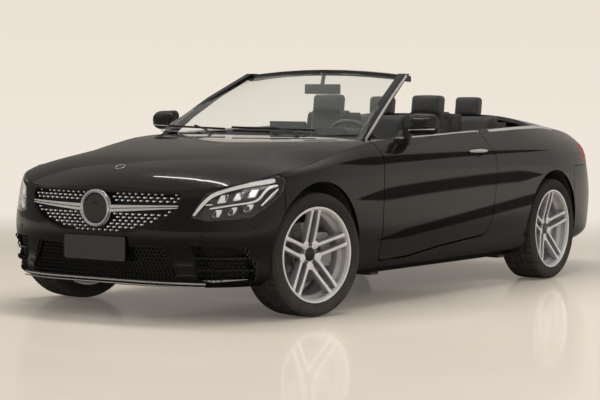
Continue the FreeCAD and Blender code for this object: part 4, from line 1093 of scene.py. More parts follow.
@dataclass
class Grille:
    """The bright parts of the radiator grille: pins, louvres, ring and boss."""

    ring_height: float = 0.573
    ring_radius: float = 0.097
    bore: float = 0.08
    half_width: float = 0.474
    top: float = 0.655
    bottom: float = 0.455
    row_step: float = 0.0172
    pin_step: float = 0.0372
    pin_length: float = 0.0222
    pin_radius: float = 0.0047
    face_y: float = -2.329
    front_most: float = -2.33
    stagger: tuple[float, float] = (0.0, 0.5)
    louvre_ends: tuple[float, float] = (0.088, 0.478)
    louvre_bars: tuple = ((0.5552, 0.5718, 0.5835, 0.5895), (0.5752, 0.5918, 0.5935, 0.5995))
    louvre_steps: int = 18

    def build(self) -> None:
        """Make all of the grille's own pieces."""
        probe = Probe("grille")
        self._pins(probe)
        self._louvres(probe)
        self._ring()

    def _inside(self, x: float, z: float) -> bool:
        """Whether a point lies in the opening and clear of the ring and the louvres."""
        reach = self.half_width - 0.3 * max(self.ring_height - 0.02 - z, 0) ** 1.25 * 6.2
        if abs(x) > reach - 0.006:
            return False
        floor = self.bottom + 0.135 * (abs(x) / self.half_width) ** 2.6
        if not floor < z < self.top + 0.006 * (1 - abs(x) / self.half_width):
            return False
        if math.hypot(x, z - self.ring_height) < self.ring_radius + 0.012:
            return False
        blade = self.ring_height + (0.0185 * abs(x) / self.half_width)
        return abs(z - blade) > 0.024

    def _pins(self, probe: Probe) -> None:
        """Rows of small bright pins on dark stems, staggered row by row."""
        tips, stems = [], []
        radius, length = self.pin_radius, self.pin_length
        tip = Bench.primitive("cone", "grille_pin_tip", vertices=6, radius1=radius, radius2=radius * 0.72,
                              depth=0.004, rotation=(math.pi / 2, 0, 0))
        stem = Bench.primitive("cone", "grille_pin_stem", vertices=5, radius1=radius * 0.9,
                               radius2=radius * 0.45, depth=length, rotation=(-math.pi / 2, 0, 0))
        count = int(self.half_width / self.pin_step) + 2
        for row in range(int((self.top - self.bottom) / self.row_step) + 2):
            z = self.top - 0.004 - row * self.row_step
            for step in range(-count, count + 1):
                x = (step + self.stagger[row % 2]) * self.pin_step
                if not self._inside(x, z):
                    continue
                beside = [probe.hit((x + way * self.pin_step / 4, AHEAD, z), Y) for way in (-1, 1)]
                if not all(beside) or min(met[0].y for met in beside) < self.front_most:
                    continue
                y = sum(met[0].y for met in beside) / 2 - length
                tips.append(Bench.copied(tip, "pin", Matrix.Translation((x, y - 0.002, z))))
                stems.append(Bench.copied(stem, "stem", Matrix.Translation((x, y + length / 2, z))))
        for name, first, rest, finish in (("grille_pins", tip, tips, CHROME),
                                          ("grille_stems", stem, stems, BLACK_MESH_AND_SHADE)):
            coat(rest[0], finish)
            bpy.data.objects.remove(first)
            dress(Bench.joined(name, rest), finish)

    def _louvres(self, probe: Probe) -> None:
        """A double satin bar on each side of the ring, narrower outwards."""
        near, far = self.louvre_ends
        for side in Side:
            bars = []
            for low, high, low_end, high_end in self.louvre_bars:
                sections = []
                for step in range(self.louvre_steps + 1):
                    share = step / self.louvre_steps
                    x = (near + (far - near) * share) * side.value
                    z0 = low + (low_end - low) * share
                    z1 = high + (high_end - high) * share
                    met = probe.hit((x, AHEAD, (z0 + z1) / 2), Y)
                    front = (met[0].y if met else self.face_y) - 0.0035
                    back = front + 0.02
                    crown = rounded_ring([(front, z0, 0.002), (front, z1, 0.002), (back, z1, 0.001),
                                          (back, z0, 0.001)], 3)
                    sections.append([Vector((x, y, z)) for y, z in crown])
                bars.append(Bench.hull("louvre", sections))
            piece = Bench.joined(f"grille_louvre_{side.word}", bars)
            dress(Bench.smooth(piece), SATIN)

    def _ring(self) -> None:
        """A thick bright ring round a plain black boss."""
        centre = (0, self.face_y, self.ring_height)
        out, bore = self.ring_radius + 0.0008, self.bore - 0.0008
        profile = [(0.002, out - 0.004), (0.002, out), (-0.01, out), (-0.017, out - 0.002),
                   (-0.0212, out - 0.0075), (-0.0208, out - 0.012), (-0.0165, bore + 0.001), (-0.012, bore),
                   (-0.007, bore)]
        ring = Bench.turned("grille_ring", profile, centre, Y, 96)
        dress(Bench.smooth(ring, 50), CHROME)
        dish = [(-0.008, bore + 0.001), (-0.0105, bore - 0.006), (-0.01, bore - 0.01), (-0.0122, 0.03),
                (-0.0126, 0.0)]
        boss = Bench.turned("grille_boss", dish, centre, Y, 72)
        dress(Bench.smooth(boss, 40), GLOSS)


@dataclass
class FrontTrim:
    """What the front bumper carries: bright lip, intake meshes, fins, sensors and the bonnet's badge."""

    lip_height: float = 0.204
    lip_half: float = 0.6
    lip_steps: int = 60
    intake: tuple[float, float] = (0.226, 0.392)
    sensors: tuple = ((0.3, 0.428), (0.6, 0.452), (0.795, 0.5))
    fin_heights: tuple[float, float] = (0.268, 0.33)
    foremost: float = -2.335
    rearmost: float = -1.95
    least_facing: float = -0.35

    def build(self) -> None:
        """Make all of the front's small pieces."""
        self._lip()
        self._meshes()
        self._fins()
        self._sensors()
        self._badge()
        self._plate_rim()

    def _lip(self) -> None:
        """The bright strip along the lower edge, and a thinner one just under it."""
        starts = []
        for step in range(self.lip_steps + 1):
            x = -self.lip_half + 2 * self.lip_half * step / self.lip_steps
            starts.append((x, AHEAD, self.lip_height + 0.004 * math.cos(x * 3)))
        path = Probe("front_bumper").along(starts, Y, 0.0015)
        for name, drop, half in (("lip_strip", Vector((0, 0, 0)), 0.0052),
                                 ("lip_lower_strip", Vector((0, -0.0015, -0.0165)), 0.0032)):
            lay_strip(name, [point + drop for point in path], self._outward,
                      bar_ring(half, 0.003, 0.001, 3, 0.0025), CHROME)

    @staticmethod
    def _outward(along: Vector) -> Vector:
        """Ahead and level, square to a path across the car."""
        way = along.cross(Z)
        return way if way.y < 0 else -way

    def _meshes(self) -> None:
        """Honeycomb mesh in the centre intake and in the outer intakes."""
        probe = Probe("intake_grilles")
        self._comb(probe, "centre_intake_mesh", 0.0, 0.47, 0.0215)
        for side in Side:
            self._comb(probe, f"outer_intake_mesh_{side.word}", side.value * 0.665, 0.125, 0.0185)

    def _comb(self, probe: Probe, name: str, middle: float, reach: float, pitch: float) -> None:
        """Six-sided rings set side by side on the face behind an intake.

        Args:
            probe: finds the face behind the intake.
            name: the mesh's name.
            middle: the middle of the mesh across the car.
            reach: how far it reaches to either side.
            pitch: the distance between cells.
        """
        cell = Bench.primitive("circle", "cell", vertices=6, radius=pitch * 0.575,
                               rotation=(math.pi / 2, 0, 0))
        with Bench.editing(cell, "EDGE"):
            bpy.ops.mesh.extrude_edges_move(TRANSFORM_OT_translate={"value": (0, 0.008, 0)})
        Bench.modify(cell, "SOLIDIFY", thickness=0.0018, offset=0.0)
        cells = []
        low, high = self.intake
        count, rise = int(reach / pitch), pitch * 0.87
        for row in range(int((high - low) / rise) + 1):
            z = low + row * pitch * 0.87
            for step in range(-count, count + 1):
                met = probe.hit((middle + (step + 0.5 * (row % 2)) * pitch, AHEAD, z), Y)
                if not met or met[1].y > self.least_facing or met[0].y < self.foremost:
                    continue
                cells.append(Bench.copied(cell, "cell", Matrix.Translation(met[0] - Y * 0.0095)))
        bpy.data.objects.remove(cell)
        dress(Bench.joined(name, cells), GLOSS)

    def _fins(self) -> None:
        """Two thin gloss fins across each outer intake, following the bumper."""
        probe = Probe("intake_grilles")
        for side in Side:
            fins = []
            for height in self.fin_heights:
                starts = [(side.value * (0.5 + 0.3 * (step / 14)), AHEAD, height + 0.0035)
                          for step in range(15)]
                path = [place - Y * 0.002 for place in probe.along(starts, Y)
                        if place.y < self.rearmost]
                fins.append(Bench.swept("fin", path, Z, bar_ring(0.003, 0.004, 0.001)))
            piece = Bench.joined(f"intake_fins_{side.word}", fins)
            dress(Bench.smooth(piece), GLOSS)

    def _sensors(self) -> None:
        """Six flush parking sensors in painted rings."""
        probe = Probe("front_bumper")
        profile = [(-0.001, 0.0115), (0.0012, 0.011), (0.0016, 0.0098), (0.0006, 0.0092), (0.0012, 0.0082),
                   (0.0014, 0)]
        met = [probe.hit((x * sign, AHEAD, z), Y) for x, z in self.sensors for sign in (1, -1)]
        discs = [Bench.turned("sensor", profile, *found, 28) for found in filter(None, met)]
        dress(Bench.smooth(Bench.joined("parking_sensors", discs), 40), GLOSS)

    def _badge(self) -> None:
        """The small bare disc on the bonnet's nose."""
        centre, up = Probe("bonnet").hit((0, -2.135, 2.0), -Z)
        profile = [(-0.001, 0.028), (0.0022, 0.0275), (0.003, 0.0262), (0.0022, 0.0245), (0.0016, 0.024),
                   (0.0024, 0.012), (0.0026, 0)]
        badge = Bench.turned("bonnet_disc", profile, centre, up, 48)
        two_tone(badge, CHROME, GLOSS, lambda face: (face.center - centre).length < 0.0235)
        dress(Bench.smooth(badge, 40), CHROME, Body.BONNET.value)

    def _plate_rim(self) -> None:
        """The raised edge of the blank front plate's carrier."""
        low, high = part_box("number_plate")
        ring = oblong((low.x - 0.002, low.z - 0.002), (high.x + 0.002, high.z + 0.002), 0.011, 5)
        path = [Vector((x, low.y + 0.0022, z)) for x, z in ring]
        rim = Bench.swept("plate_rim", path, -Y, bar_ring(0.0022, 0.003, 0.001), closed=True)
        dress(Bench.smooth(rim), GLOSS)


@dataclass
class Headlamps:
    """Light bars, reflector cells and the ribbed side reflector behind each headlamp lens.

    Places are (sideways, height) as seen along the lamp's own aim, in metres.
    """

    across: Vector = field(default_factory=lambda: Vector((0.77, 0.64, 0)))
    aim: Vector = field(default_factory=lambda: Vector((0.64, -0.77, 0)))
    brow: tuple = ((-1.003, 0.549), (-0.971, 0.592), (-0.943, 0.624), (-0.908, 0.652), (-0.851, 0.676),
                   (-0.779, 0.695), (-0.706, 0.709), (-0.635, 0.719), (-0.581, 0.727))
    second: tuple = ((-0.567, 0.702), (-0.617, 0.691), (-0.643, 0.666), (-0.662, 0.638), (-0.692, 0.62),
                     (-0.747, 0.612), (-0.837, 0.6), (-0.922, 0.585))
    link: tuple = ((-0.943, 0.604), (-0.908, 0.606))
    upper_cells: tuple = (((-0.887, 0.61), (-0.862, 0.653), (-0.822, 0.658), (-0.841, 0.617)),
                          ((-0.808, 0.622), (-0.783, 0.664), (-0.745, 0.67), (-0.765, 0.63)),
                          ((-0.732, 0.638), (-0.708, 0.68), (-0.664, 0.686), (-0.688, 0.644)))
    lower_cells: tuple = (((-0.912, 0.541), (-0.89, 0.578), (-0.855, 0.582), (-0.873, 0.545)),
                          ((-0.834, 0.552), (-0.808, 0.591), (-0.776, 0.595), (-0.798, 0.557)),
                          ((-0.754, 0.569), (-0.728, 0.606), (-0.69, 0.609), (-0.714, 0.575)))

    def build(self) -> None:
        """Make the inner pieces of the left lamp, and mirror them for the right one."""
        probe = Probe("headlamp_lenses")
        pieces = [
            (self._bar(probe, "brow_light", self.brow, (0.0075, 0.0115), 0.012, 30), LIGHT_GUIDE),
            (self._bar(probe, "signature_light", self.second, (0.0075, 0.0042), 0.014, 30), LIGHT_GUIDE),
            (self._bar(probe, "link_light", self.link, (0.0032, 0.0032), 0.015, 6), LIGHT_GUIDE),
            (self._cells(probe, "main_cells", self.upper_cells), GLOWING_REFLECTOR),
            (self._cells(probe, "low_cells", self.lower_cells), GLOWING_REFLECTOR),
            (self._fan(probe), GLOWING_REFLECTOR),
        ]
        for piece, finish in pieces:
            coat(piece, finish)
            right = Bench.copied(piece, piece.name + "_right", MIRROR)
            piece.name += "_left"
            for made in (piece, right):
                dress(Bench.smooth(made), finish)

    def _on_lens(self, probe: Probe, sideways: float, height: float, depth: float) -> Vector:
        """A point a depth behind the lens, seen along the lamp's aim."""
        met = probe.hit(self.across * sideways + Z * height + self.aim * 4.0, -self.aim)
        if met is None:
            return self.across * sideways + Z * height + self.aim * 1.95
        return met[0] - self.aim * depth

    def _bar(self, probe: Probe, name: str, route: Sequence[tuple[float, float]],
             halves: tuple[float, float], depth: float, count: int) -> Mesh:
        """A light bar that follows the lens, its half width running from one value to another."""
        path = resampled([self._on_lens(probe, s, z, depth) for s, z in self._eased(route)], count)
        rings = []
        out = self.aim.normalized()
        for index, point in enumerate(path):
            before, after = path[max(index - 1, 0)], path[min(index + 1, count - 1)]
            along = (after - before).normalized()
            over = along.cross(out).normalized()
            share = index / (count - 1)
            half = halves[0] + (halves[1] - halves[0]) * math.sin(math.pi * min(share * 1.15, 1) / 2)
            if index in (0, count - 1):
                half *= 0.7
            ring = oblong((-half, -0.005), (half, 0.004), 0.001, 3, 0.0015)
            rings.append([point + over * a + out * b for a, b in ring])
        return Bench.hull(name, rings)

    @staticmethod
    def _eased(route: Sequence[tuple[float, float]]) -> list[tuple[float, float]]:
        """The route with its corners cut twice, so that it bends smoothly."""
        points = [Vector(p) for p in route]
        for _ in range(2):
            cut = [points[0]]
            for first, last in zip(points, points[1:]):
                cut += [first.lerp(last, 0.25), first.lerp(last, 0.75)]
            points = cut + [points[-1]]
        return [tuple(p) for p in points]

    def _cells(self, probe: Probe, name: str, cells: Sequence[Sequence[tuple[float, float]]]) -> Mesh:
        """Bright-edged reflector cups with a faint painted glow, set a little behind the lens."""
        cups = []
        for corners in cells:
            ring = rounded_ring([(s, z, 0.006) for s, z in corners], 4)
            middle = (sum(p[0] for p in ring) / len(ring), sum(p[1] for p in ring) / len(ring))
            rows = []
            for scale, depth in ((1.0, 0.03), (1.06, 0.02), (1.0, 0.018), (0.9, 0.021), (0.74, 0.034),
                                 (0.42, 0.044), (0.12, 0.047)):
                row = []
                for s, z in ring:
                    edge = self._on_lens(probe, s, z, 0.0)
                    centre = self._on_lens(probe, middle[0], middle[1], 0.0)
                    row.append(centre.lerp(edge, scale) - self.aim * depth)
                rows.append(row)
            cups.append(Bench.hull("cup", rows))
        return Bench.joined(name, cups)

    def _fan(self, probe: Probe) -> Mesh:
        """The ribbed side reflector in the lamp's outer corner."""
        ribs = []
        for step in range(6):
            share = step / 5
            start = (-0.655 + 0.055 * share, 0.6 + 0.04 * share)
            end = (-0.6 + 0.035 * share, 0.655 + 0.028 * share)
            path = []
            for t in (0, 0.25, 0.5, 0.75, 1):
                sideways, height = (a + (b - a) * t for a, b in zip(start, end))
                path.append(self._on_lens(probe, sideways, height, 0.022 + 0.008 * share))
            ribs.append(Bench.swept("rib", path, Z, bar_ring(0.005, 0.004, 0.002)))
        return Bench.joined("side_reflector", ribs)


@dataclass
class Wheels:
    """The four wheels: tyre, rim, brake disc, bolts, cap and the caliper that doesn't turn.

    A wheel is modelled with its axle along X at the origin and its outer face at +X.
    """

    radius: float = 0.33
    bead: float = 0.2435
    rim_radius: float = 0.254
    half_width: float = 0.1215
    groove_depth: float = 0.0065
    steps: int = 216
    pairs: int = 5
    bolt_circle: float = 0.056
    front_place: tuple[float, float, float] = (0.715, -1.553, 0.33)
    front_reach: float = 0.066
    rear_place: tuple[float, float, float] = (0.773, 1.287, 0.33)
    steer: float = -12.5
    spoke: tuple = ((0.04, 0.025, 0.021, 0.054, 0.026), (0.066, 0.0285, 0.018, 0.058, 0.03),
                    (0.1, 0.0285, 0.0155, 0.0665, 0.034), (0.14, 0.028, 0.015, 0.077, 0.035),
                    (0.18, 0.0275, 0.015, 0.087, 0.034), (0.212, 0.0265, 0.0165, 0.0945, 0.032),
                    (0.23, 0.026, 0.02, 0.0985, 0.03), (0.2405, 0.0255, 0.026, 0.1, 0.026))

    def build(self) -> None:
        """Make one wheel, and copy it to its four places."""
        tyre, rim, disc = self._tyre(), self._rim(), self._disc()
        caliper = self._caliper()
        for end in ("front", "rear"):
            for side in Side:
                place = self._place(end, side)
                name = f"{end}_{side.word}"
                body = Body.wheel(end, side)
                dress(Bench.copied(tyre, f"tyre_{name}_treaded", place), RUBBER, body,
                      [f"tyre_{name}"])
                dress(Bench.copied(rim, f"rim_{name}_spoked", place), ALLOY, body,
                      [f"rim_{name}"])
                dress(Bench.copied(disc, f"brake_disc_{name}", place), DISC, body)
                holder = Body.knuckle(side) if end == "front" else Body.ROOT.value
                dress(Bench.copied(caliper, f"caliper_{name}", place), CALIPER, holder)
        for piece in (tyre, rim, disc, caliper):
            bpy.data.objects.remove(piece)

    def _place(self, end: str, side: Side) -> Matrix:
        """The matrix that puts the wheel at one corner of the car, as it is steered at rest."""
        x, y, z = self.rear_place if end == "rear" else self.front_place
        corner = Matrix.Translation((x * side.value, y, z))
        if end == "rear":
            return corner @ side.place
        turn = Matrix.Rotation(math.radians(self.steer), 4, "Z")
        return corner @ turn @ Matrix.Translation((self.front_reach * side.value, 0, 0)) @ side.place

    def _tyre(self) -> Mesh:
        """A tyre with four grooves round it, cut shoulders and ribs on its side walls."""
        deep = self.radius - self.groove_depth
        side: Outline = [(-0.1, self.bead), (-0.1045, 0.2535), (-0.1105, 0.26), (-0.1135, 0.262),
                         (-0.114, 0.2665), (-0.116, 0.27), (-0.1195, 0.28), (-0.1197, 0.2812),
                         (-0.119, 0.282), (-0.1212, 0.29), (-0.1214, 0.2912), (-0.1206, 0.292),
                         (-0.1205, 0.3), (-0.1186, 0.3085), (-0.1172, 0.31), (-0.1164, 0.3088),
                         (-0.112, 0.317), (-0.104, 0.324), (-0.093, 0.3272)]
        tread: Outline = [(-0.064, 0.329), (-0.0625, deep), (-0.055, deep), (-0.0535, 0.3294),
                          (-0.0255, 0.33), (-0.024, deep), (-0.015, deep), (-0.0135, 0.33)]
        left = side + tread
        profile = left + [(-a, r) for a, r in reversed(left)] + [left[0]]
        tyre = Bench.turned("tyre", profile, (0, 0, 0), X, self.steps)
        self._cut(tyre, (0.066, 0.11), 0.3215, 4, 1, 0.0045)
        self._cut(tyre, (0.026, 0.054), 0.3285, 6, 3, 0.004)
        coat(tyre, RUBBER)
        return Bench.smooth(tyre, 28)

    def _cut(self, tyre: Mesh, ribs: tuple[float, float], least: float, every: int, shift: int,
             depth: float) -> None:
        """Sink patches of the tread.

        Args:
            tyre: the tyre.
            ribs: how far from the middle the patches lie, from and to.
            least: the least distance from the axle.
            every: which patches sink: every so many round the tyre.
            shift: how many patches the outer half is ahead of the inner one.
            depth: how deep they sink.
        """
        with Bench.editing(tyre, "FACE", "DESELECT"):
            mesh = bmesh.from_edit_mesh(tyre.data)
            for face in mesh.faces:
                centre = face.calc_center_median()
                turn = math.atan2(centre.z, centre.y) / math.tau * self.steps
                count = math.floor(turn + (shift if centre.x > 0 else 0))
                face.select_set(ribs[0] < abs(centre.x) < ribs[1] and count % every == 0
                                and math.hypot(centre.y, centre.z) > least)
            mesh.select_flush_mode()
            bmesh.update_edit_mesh(tyre.data)
            bpy.ops.mesh.extrude_region_shrink_fatten(TRANSFORM_OT_shrink_fatten={"value": -depth})

    def _rim(self) -> Mesh:
        """A stepped barrel with a bright lip, five pairs of spokes, a hub, bolts and a cap."""
        pieces = [self._barrel(), self._hub()]
        for pair in range(self.pairs):
            turn = math.radians(90 + 360 / self.pairs * pair)
            pieces += [self._spoke(turn, lean) for lean in (-1, 1)]
            pieces.append(self._crotch(turn + math.pi / self.pairs))
            pieces.append(self._bolt(turn))
        return Bench.joined("rim", pieces)

    def _finished(self, piece: Mesh, body: Finish, bright: Finish,
                  shiny: Callable[[bpy.types.MeshPolygon], bool]) -> Mesh:
        """Two finishes on one piece, the brighter where a test says."""
        two_tone(piece, body, bright, shiny)
        return Bench.smooth(piece, 32)

    def _barrel(self) -> Mesh:
        """The rim's barrel, with its two flanges and the drop in its middle."""
        outer: Outline = [(-0.111, 0.254), (-0.1055, 0.254), (-0.103, 0.243), (-0.06, 0.243),
                          (-0.044, 0.227), (0.04, 0.227), (0.06, 0.243), (0.103, 0.243),
                          (0.1055, 0.254), (0.11, 0.2545), (0.1118, 0.253)]
        inner: Outline = [(0.112, 0.249), (0.111, 0.244), (0.1045, 0.24), (0.101, 0.2395),
                          (0.096, 0.2345), (0.062, 0.233), (0.042, 0.219), (-0.046, 0.219),
                          (-0.062, 0.233), (-0.11, 0.237)]
        barrel = Bench.turned("barrel", outer + inner + [outer[0]], (0, 0, 0), X, 144)
        return self._finished(barrel, ALLOY, MACHINED,
                              lambda face: face.center.x > 0.1 and face.normal.x > 0.25)

    def _hub(self) -> Mesh:
        """The hub disc with its cap: a bright ring round a plain dark middle."""
        profile: Outline = [(0.012, 0.0), (0.012, 0.07), (0.03, 0.0705), (0.0405, 0.068),
                            (0.0425, 0.06), (0.043, 0.047), (0.052, 0.044), (0.0555, 0.041),
                            (0.056, 0.0385), (0.054, 0.037), (0.053, 0.036), (0.0545, 0.0345),
                            (0.056, 0.02), (0.0565, 0.0)]
        hub = Bench.turned("hub", profile, (0, 0, 0), X, 72)
        ring_out, ring_in, front = 0.0425, 0.0365, 0.05
        hub = self._finished(hub, DARK_ALLOY, CHROME, lambda face: face.center.x > front
                             and ring_in < math.hypot(face.center.y, face.center.z) < ring_out)
        coat(hub, GLOSS)
        for face in hub.data.polygons:
            if face.center.x > front and math.hypot(face.center.y, face.center.z) < ring_in:
                face.material_index = 2
        return hub

    @staticmethod
    def _radial(turn: float) -> tuple[Vector, Vector]:
        """The directions out from the axle and across, at a turn."""
        return Vector((0, math.cos(turn), math.sin(turn))), Vector((0, -math.sin(turn), math.cos(turn)))

    def _spoke(self, turn: float, lean: int) -> Mesh:
        """One spoke of a pair: a flat bright face with chamfers over deep grey sides."""
        out, across = self._radial(turn)
        sections = []
        for radius, sideways, width, face, depth in self.spoke:
            half = width / 2
            ring = [(-half, 0), (half, 0), (half + 0.0022, -0.0022), (half + 0.0045, -0.012),
                    (half + 0.005, -depth), (-half - 0.005, -depth), (-half - 0.0045, -0.012),
                    (-half - 0.0022, -0.0022)]
            centre = out * radius + across * sideways * lean
            sections.append([centre + across * a + X * (face + b) for a, b in ring])
        spoke = Bench.hull("spoke", sections)
        Bench.rounded(spoke, 0.0007, 1, 20)
        return self._finished(spoke, DARK_ALLOY, MACHINED, lambda face: face.normal.x > 0.82)

    def _crotch(self, turn: float) -> Mesh:
        """The filled corner where the spokes of two pairs meet."""
        out, across = self._radial(turn)
        outline = [(0.036, -0.01), (0.058, -0.0265), (0.074, -0.02), (0.08, -0.0115), (0.082, 0.0),
                   (0.08, 0.0115), (0.074, 0.02), (0.058, 0.0265), (0.036, 0.01)]
        ring = [out * r + across * a + X * (0.0555 + max(r - 0.045, 0) * 0.16) for r, a in outline]
        low = [point - X * 0.024 for point in ring]
        piece = Bench.hull("crotch", [low, ring])
        Bench.rounded(piece, 0.0015, 2)
        return self._finished(piece, DARK_ALLOY, MACHINED, lambda face: face.normal.x > 0.82)

    def _bolt(self, turn: float) -> Mesh:
        """A wheel bolt with a hexagonal head, in a conical black ring that is painted shade for the recess
        round it.
        """
        centre = self._radial(turn)[0] * self.bolt_circle
        # Painted shade: a thin black cone round the head stands for the dark recess of the bolt's hole.
        seat = Bench.turned("bolt_seat", [(0.04, 0.0135), (0.0445, 0.0135), (0.0435, 0.0115),
                                          (0.0405, 0.0105)], centre, X, 28)
        coat(seat, BLACK_MESH_AND_SHADE)
        head = Bench.turned("bolt_head", [(0.038, 0.0085), (0.05, 0.0085), (0.0525, 0.007),
                                          (0.0525, 0.0035), (0.0505, 0.003), (0.0505, 0.0)], centre, X, 6)
        coat(head, STEEL)
        return Bench.joined("bolt", [seat, head])

    def _disc(self) -> Mesh:
        """A vented brake disc with its bell, and black dots on its face painted as the shade of drilled
        holes.
        """
        ring: Outline = [(-0.034, 0.086), (-0.034, 0.164), (-0.033, 0.165), (-0.026, 0.165),
                         (-0.0255, 0.16), (-0.0165, 0.16), (-0.016, 0.165), (-0.009, 0.165),
                         (-0.008, 0.164), (-0.008, 0.09), (-0.0095, 0.0885), (0.0175, 0.088),
                         (0.02, 0.086), (0.02, 0.04), (0.012, 0.04), (0.012, 0.08),
                         (-0.034, 0.08), (-0.034, 0.086)]
        disc = Bench.turned("brake_disc", ring, (0, 0, 0), X, 96)
        coat(disc, DISC)
        Bench.smooth(disc, 30)
        shade_dots = []
        # Painted shade: flat black dots just proud of the face stand for the dark insides of the drilled
        # holes.
        shade_dot = Bench.primitive("cylinder", "painted_hole_shade", vertices=10, radius=0.0034, depth=0.0012,
                               rotation=(0, math.pi / 2, 0))
        Bench.rounded(shade_dot, 0.0003, 1)
        coat(shade_dot, BLACK_MESH_AND_SHADE)
        for step in range(72):
            turn = math.tau * step / 72
            radius = (0.106, 0.127, 0.148)[step % 3]
            place = Matrix.Translation((-0.0081, math.cos(turn) * radius, math.sin(turn) * radius))
            shade_dots.append(Bench.copied(shade_dot, "painted_hole_shade", place))
        bpy.data.objects.remove(shade_dot)
        return Bench.joined("brake_disc", [disc] + shade_dots)

    def _caliper(self) -> Mesh:
        """The caliper's outer half, with its two cylinders' swellings and a bridge over the disc."""
        ring: Outline = []
        low, high = math.radians(-17), math.radians(33)
        for step in range(13):
            turn = low + (high - low) * step / 12
            radius = 0.1935 + 0.0015 * math.cos((turn - low) / (high - low) * math.tau)
            ring.append((radius * math.cos(turn), radius * math.sin(turn)))
        for step in range(9):
            turn = high - (high - low) * step / 8
            radius = 0.107 + 0.006 * math.sin((high - turn) / (high - low) * math.pi)
            ring.append((radius * math.cos(turn), radius * math.sin(turn)))
        points = [Vector((-0.004, y, z)) for y, z in ring]
        body = Bench.prism("caliper", points, X * 0.0305, 0.006, 3)
        bridge_ring = [(0.1735, low * 0.6), (0.1935, low * 0.6), (0.1935, high * 0.75),
                       (0.1735, high * 0.75)]
        corners = [Vector((-0.066, r * math.cos(t), r * math.sin(t))) for r, t in bridge_ring]
        bridge = Bench.prism("bridge", corners, X * 0.07, 0.004, 2)
        swell: Outline = [(0.02, 0.024), (0.0275, 0.0215), (0.03, 0.016), (0.0305, 0.0)]
        centres = [Vector((0, 0.152 * math.cos(t), 0.152 * math.sin(t)))
                   for t in map(math.radians, (-3, 20))]
        swells = [Bench.turned("swell", swell, centre, X, 32) for centre in centres]
        caliper = Bench.joined("caliper", [body, bridge] + swells)
        coat(caliper, CALIPER)
        return Bench.smooth(caliper, 40)


@dataclass
class Padding:
    """How a cushion is blown up: cloth over foam, with a cap on how far it may swell."""

    voxel: float = 0.0075
    pressure: float = 4.0
    frames: int = 20
    cap: float = 0.012
    inset: float = 0.004
    stretch: float = 22.0
    bend: float = 4.0

    def cushion(self, name: str, ring: Sequence[Corner], first: float, last: float) -> Mesh:
        """A cushion from its side outline (y, z, radius) and the two ends of its width.

        Args:
            name: the piece's name.
            ring: the corners of its outline, with their radii.
            first: the place of its one end across the car.
            last: the place of its other end.

        Returns:
            The crowned cushion.
        """
        low, high = min(first, last) + self.inset, max(first, last) - self.inset
        piece = Bench.upright(name, low, rounded_ring(ring, 6), high - low, 0.014, 3)
        self._blown(piece)
        return Bench.smooth(piece, 60)

    def _blown(self, piece: Mesh) -> None:
        """Remesh a cushion, fill it with pressure and put a cap on its swelling."""
        Bench.modify(piece, "REMESH", mode="VOXEL", voxel_size=self.voxel)
        start = [vertex.co.copy() for vertex in piece.data.vertices]
        scene = bpy.context.scene
        cloth = piece.modifiers.new("fill", "CLOTH")
        cloth.settings.use_pressure = True
        cloth.settings.uniform_pressure_force = self.pressure
        cloth.settings.effector_weights.gravity = 0
        cloth.settings.tension_stiffness = self.stretch
        cloth.settings.compression_stiffness = self.stretch
        cloth.settings.bending_stiffness = self.bend
        for frame_number in range(1, self.frames + 1):
            scene.frame_set(frame_number)
        Bench.select(piece)
        bpy.ops.object.modifier_apply(modifier=cloth.name)
        for vertex, first in zip(piece.data.vertices, start):
            moved = vertex.co - first
            if moved.length > self.cap:
                vertex.co = first + moved * (self.cap / moved.length)
        scene.frame_set(1)


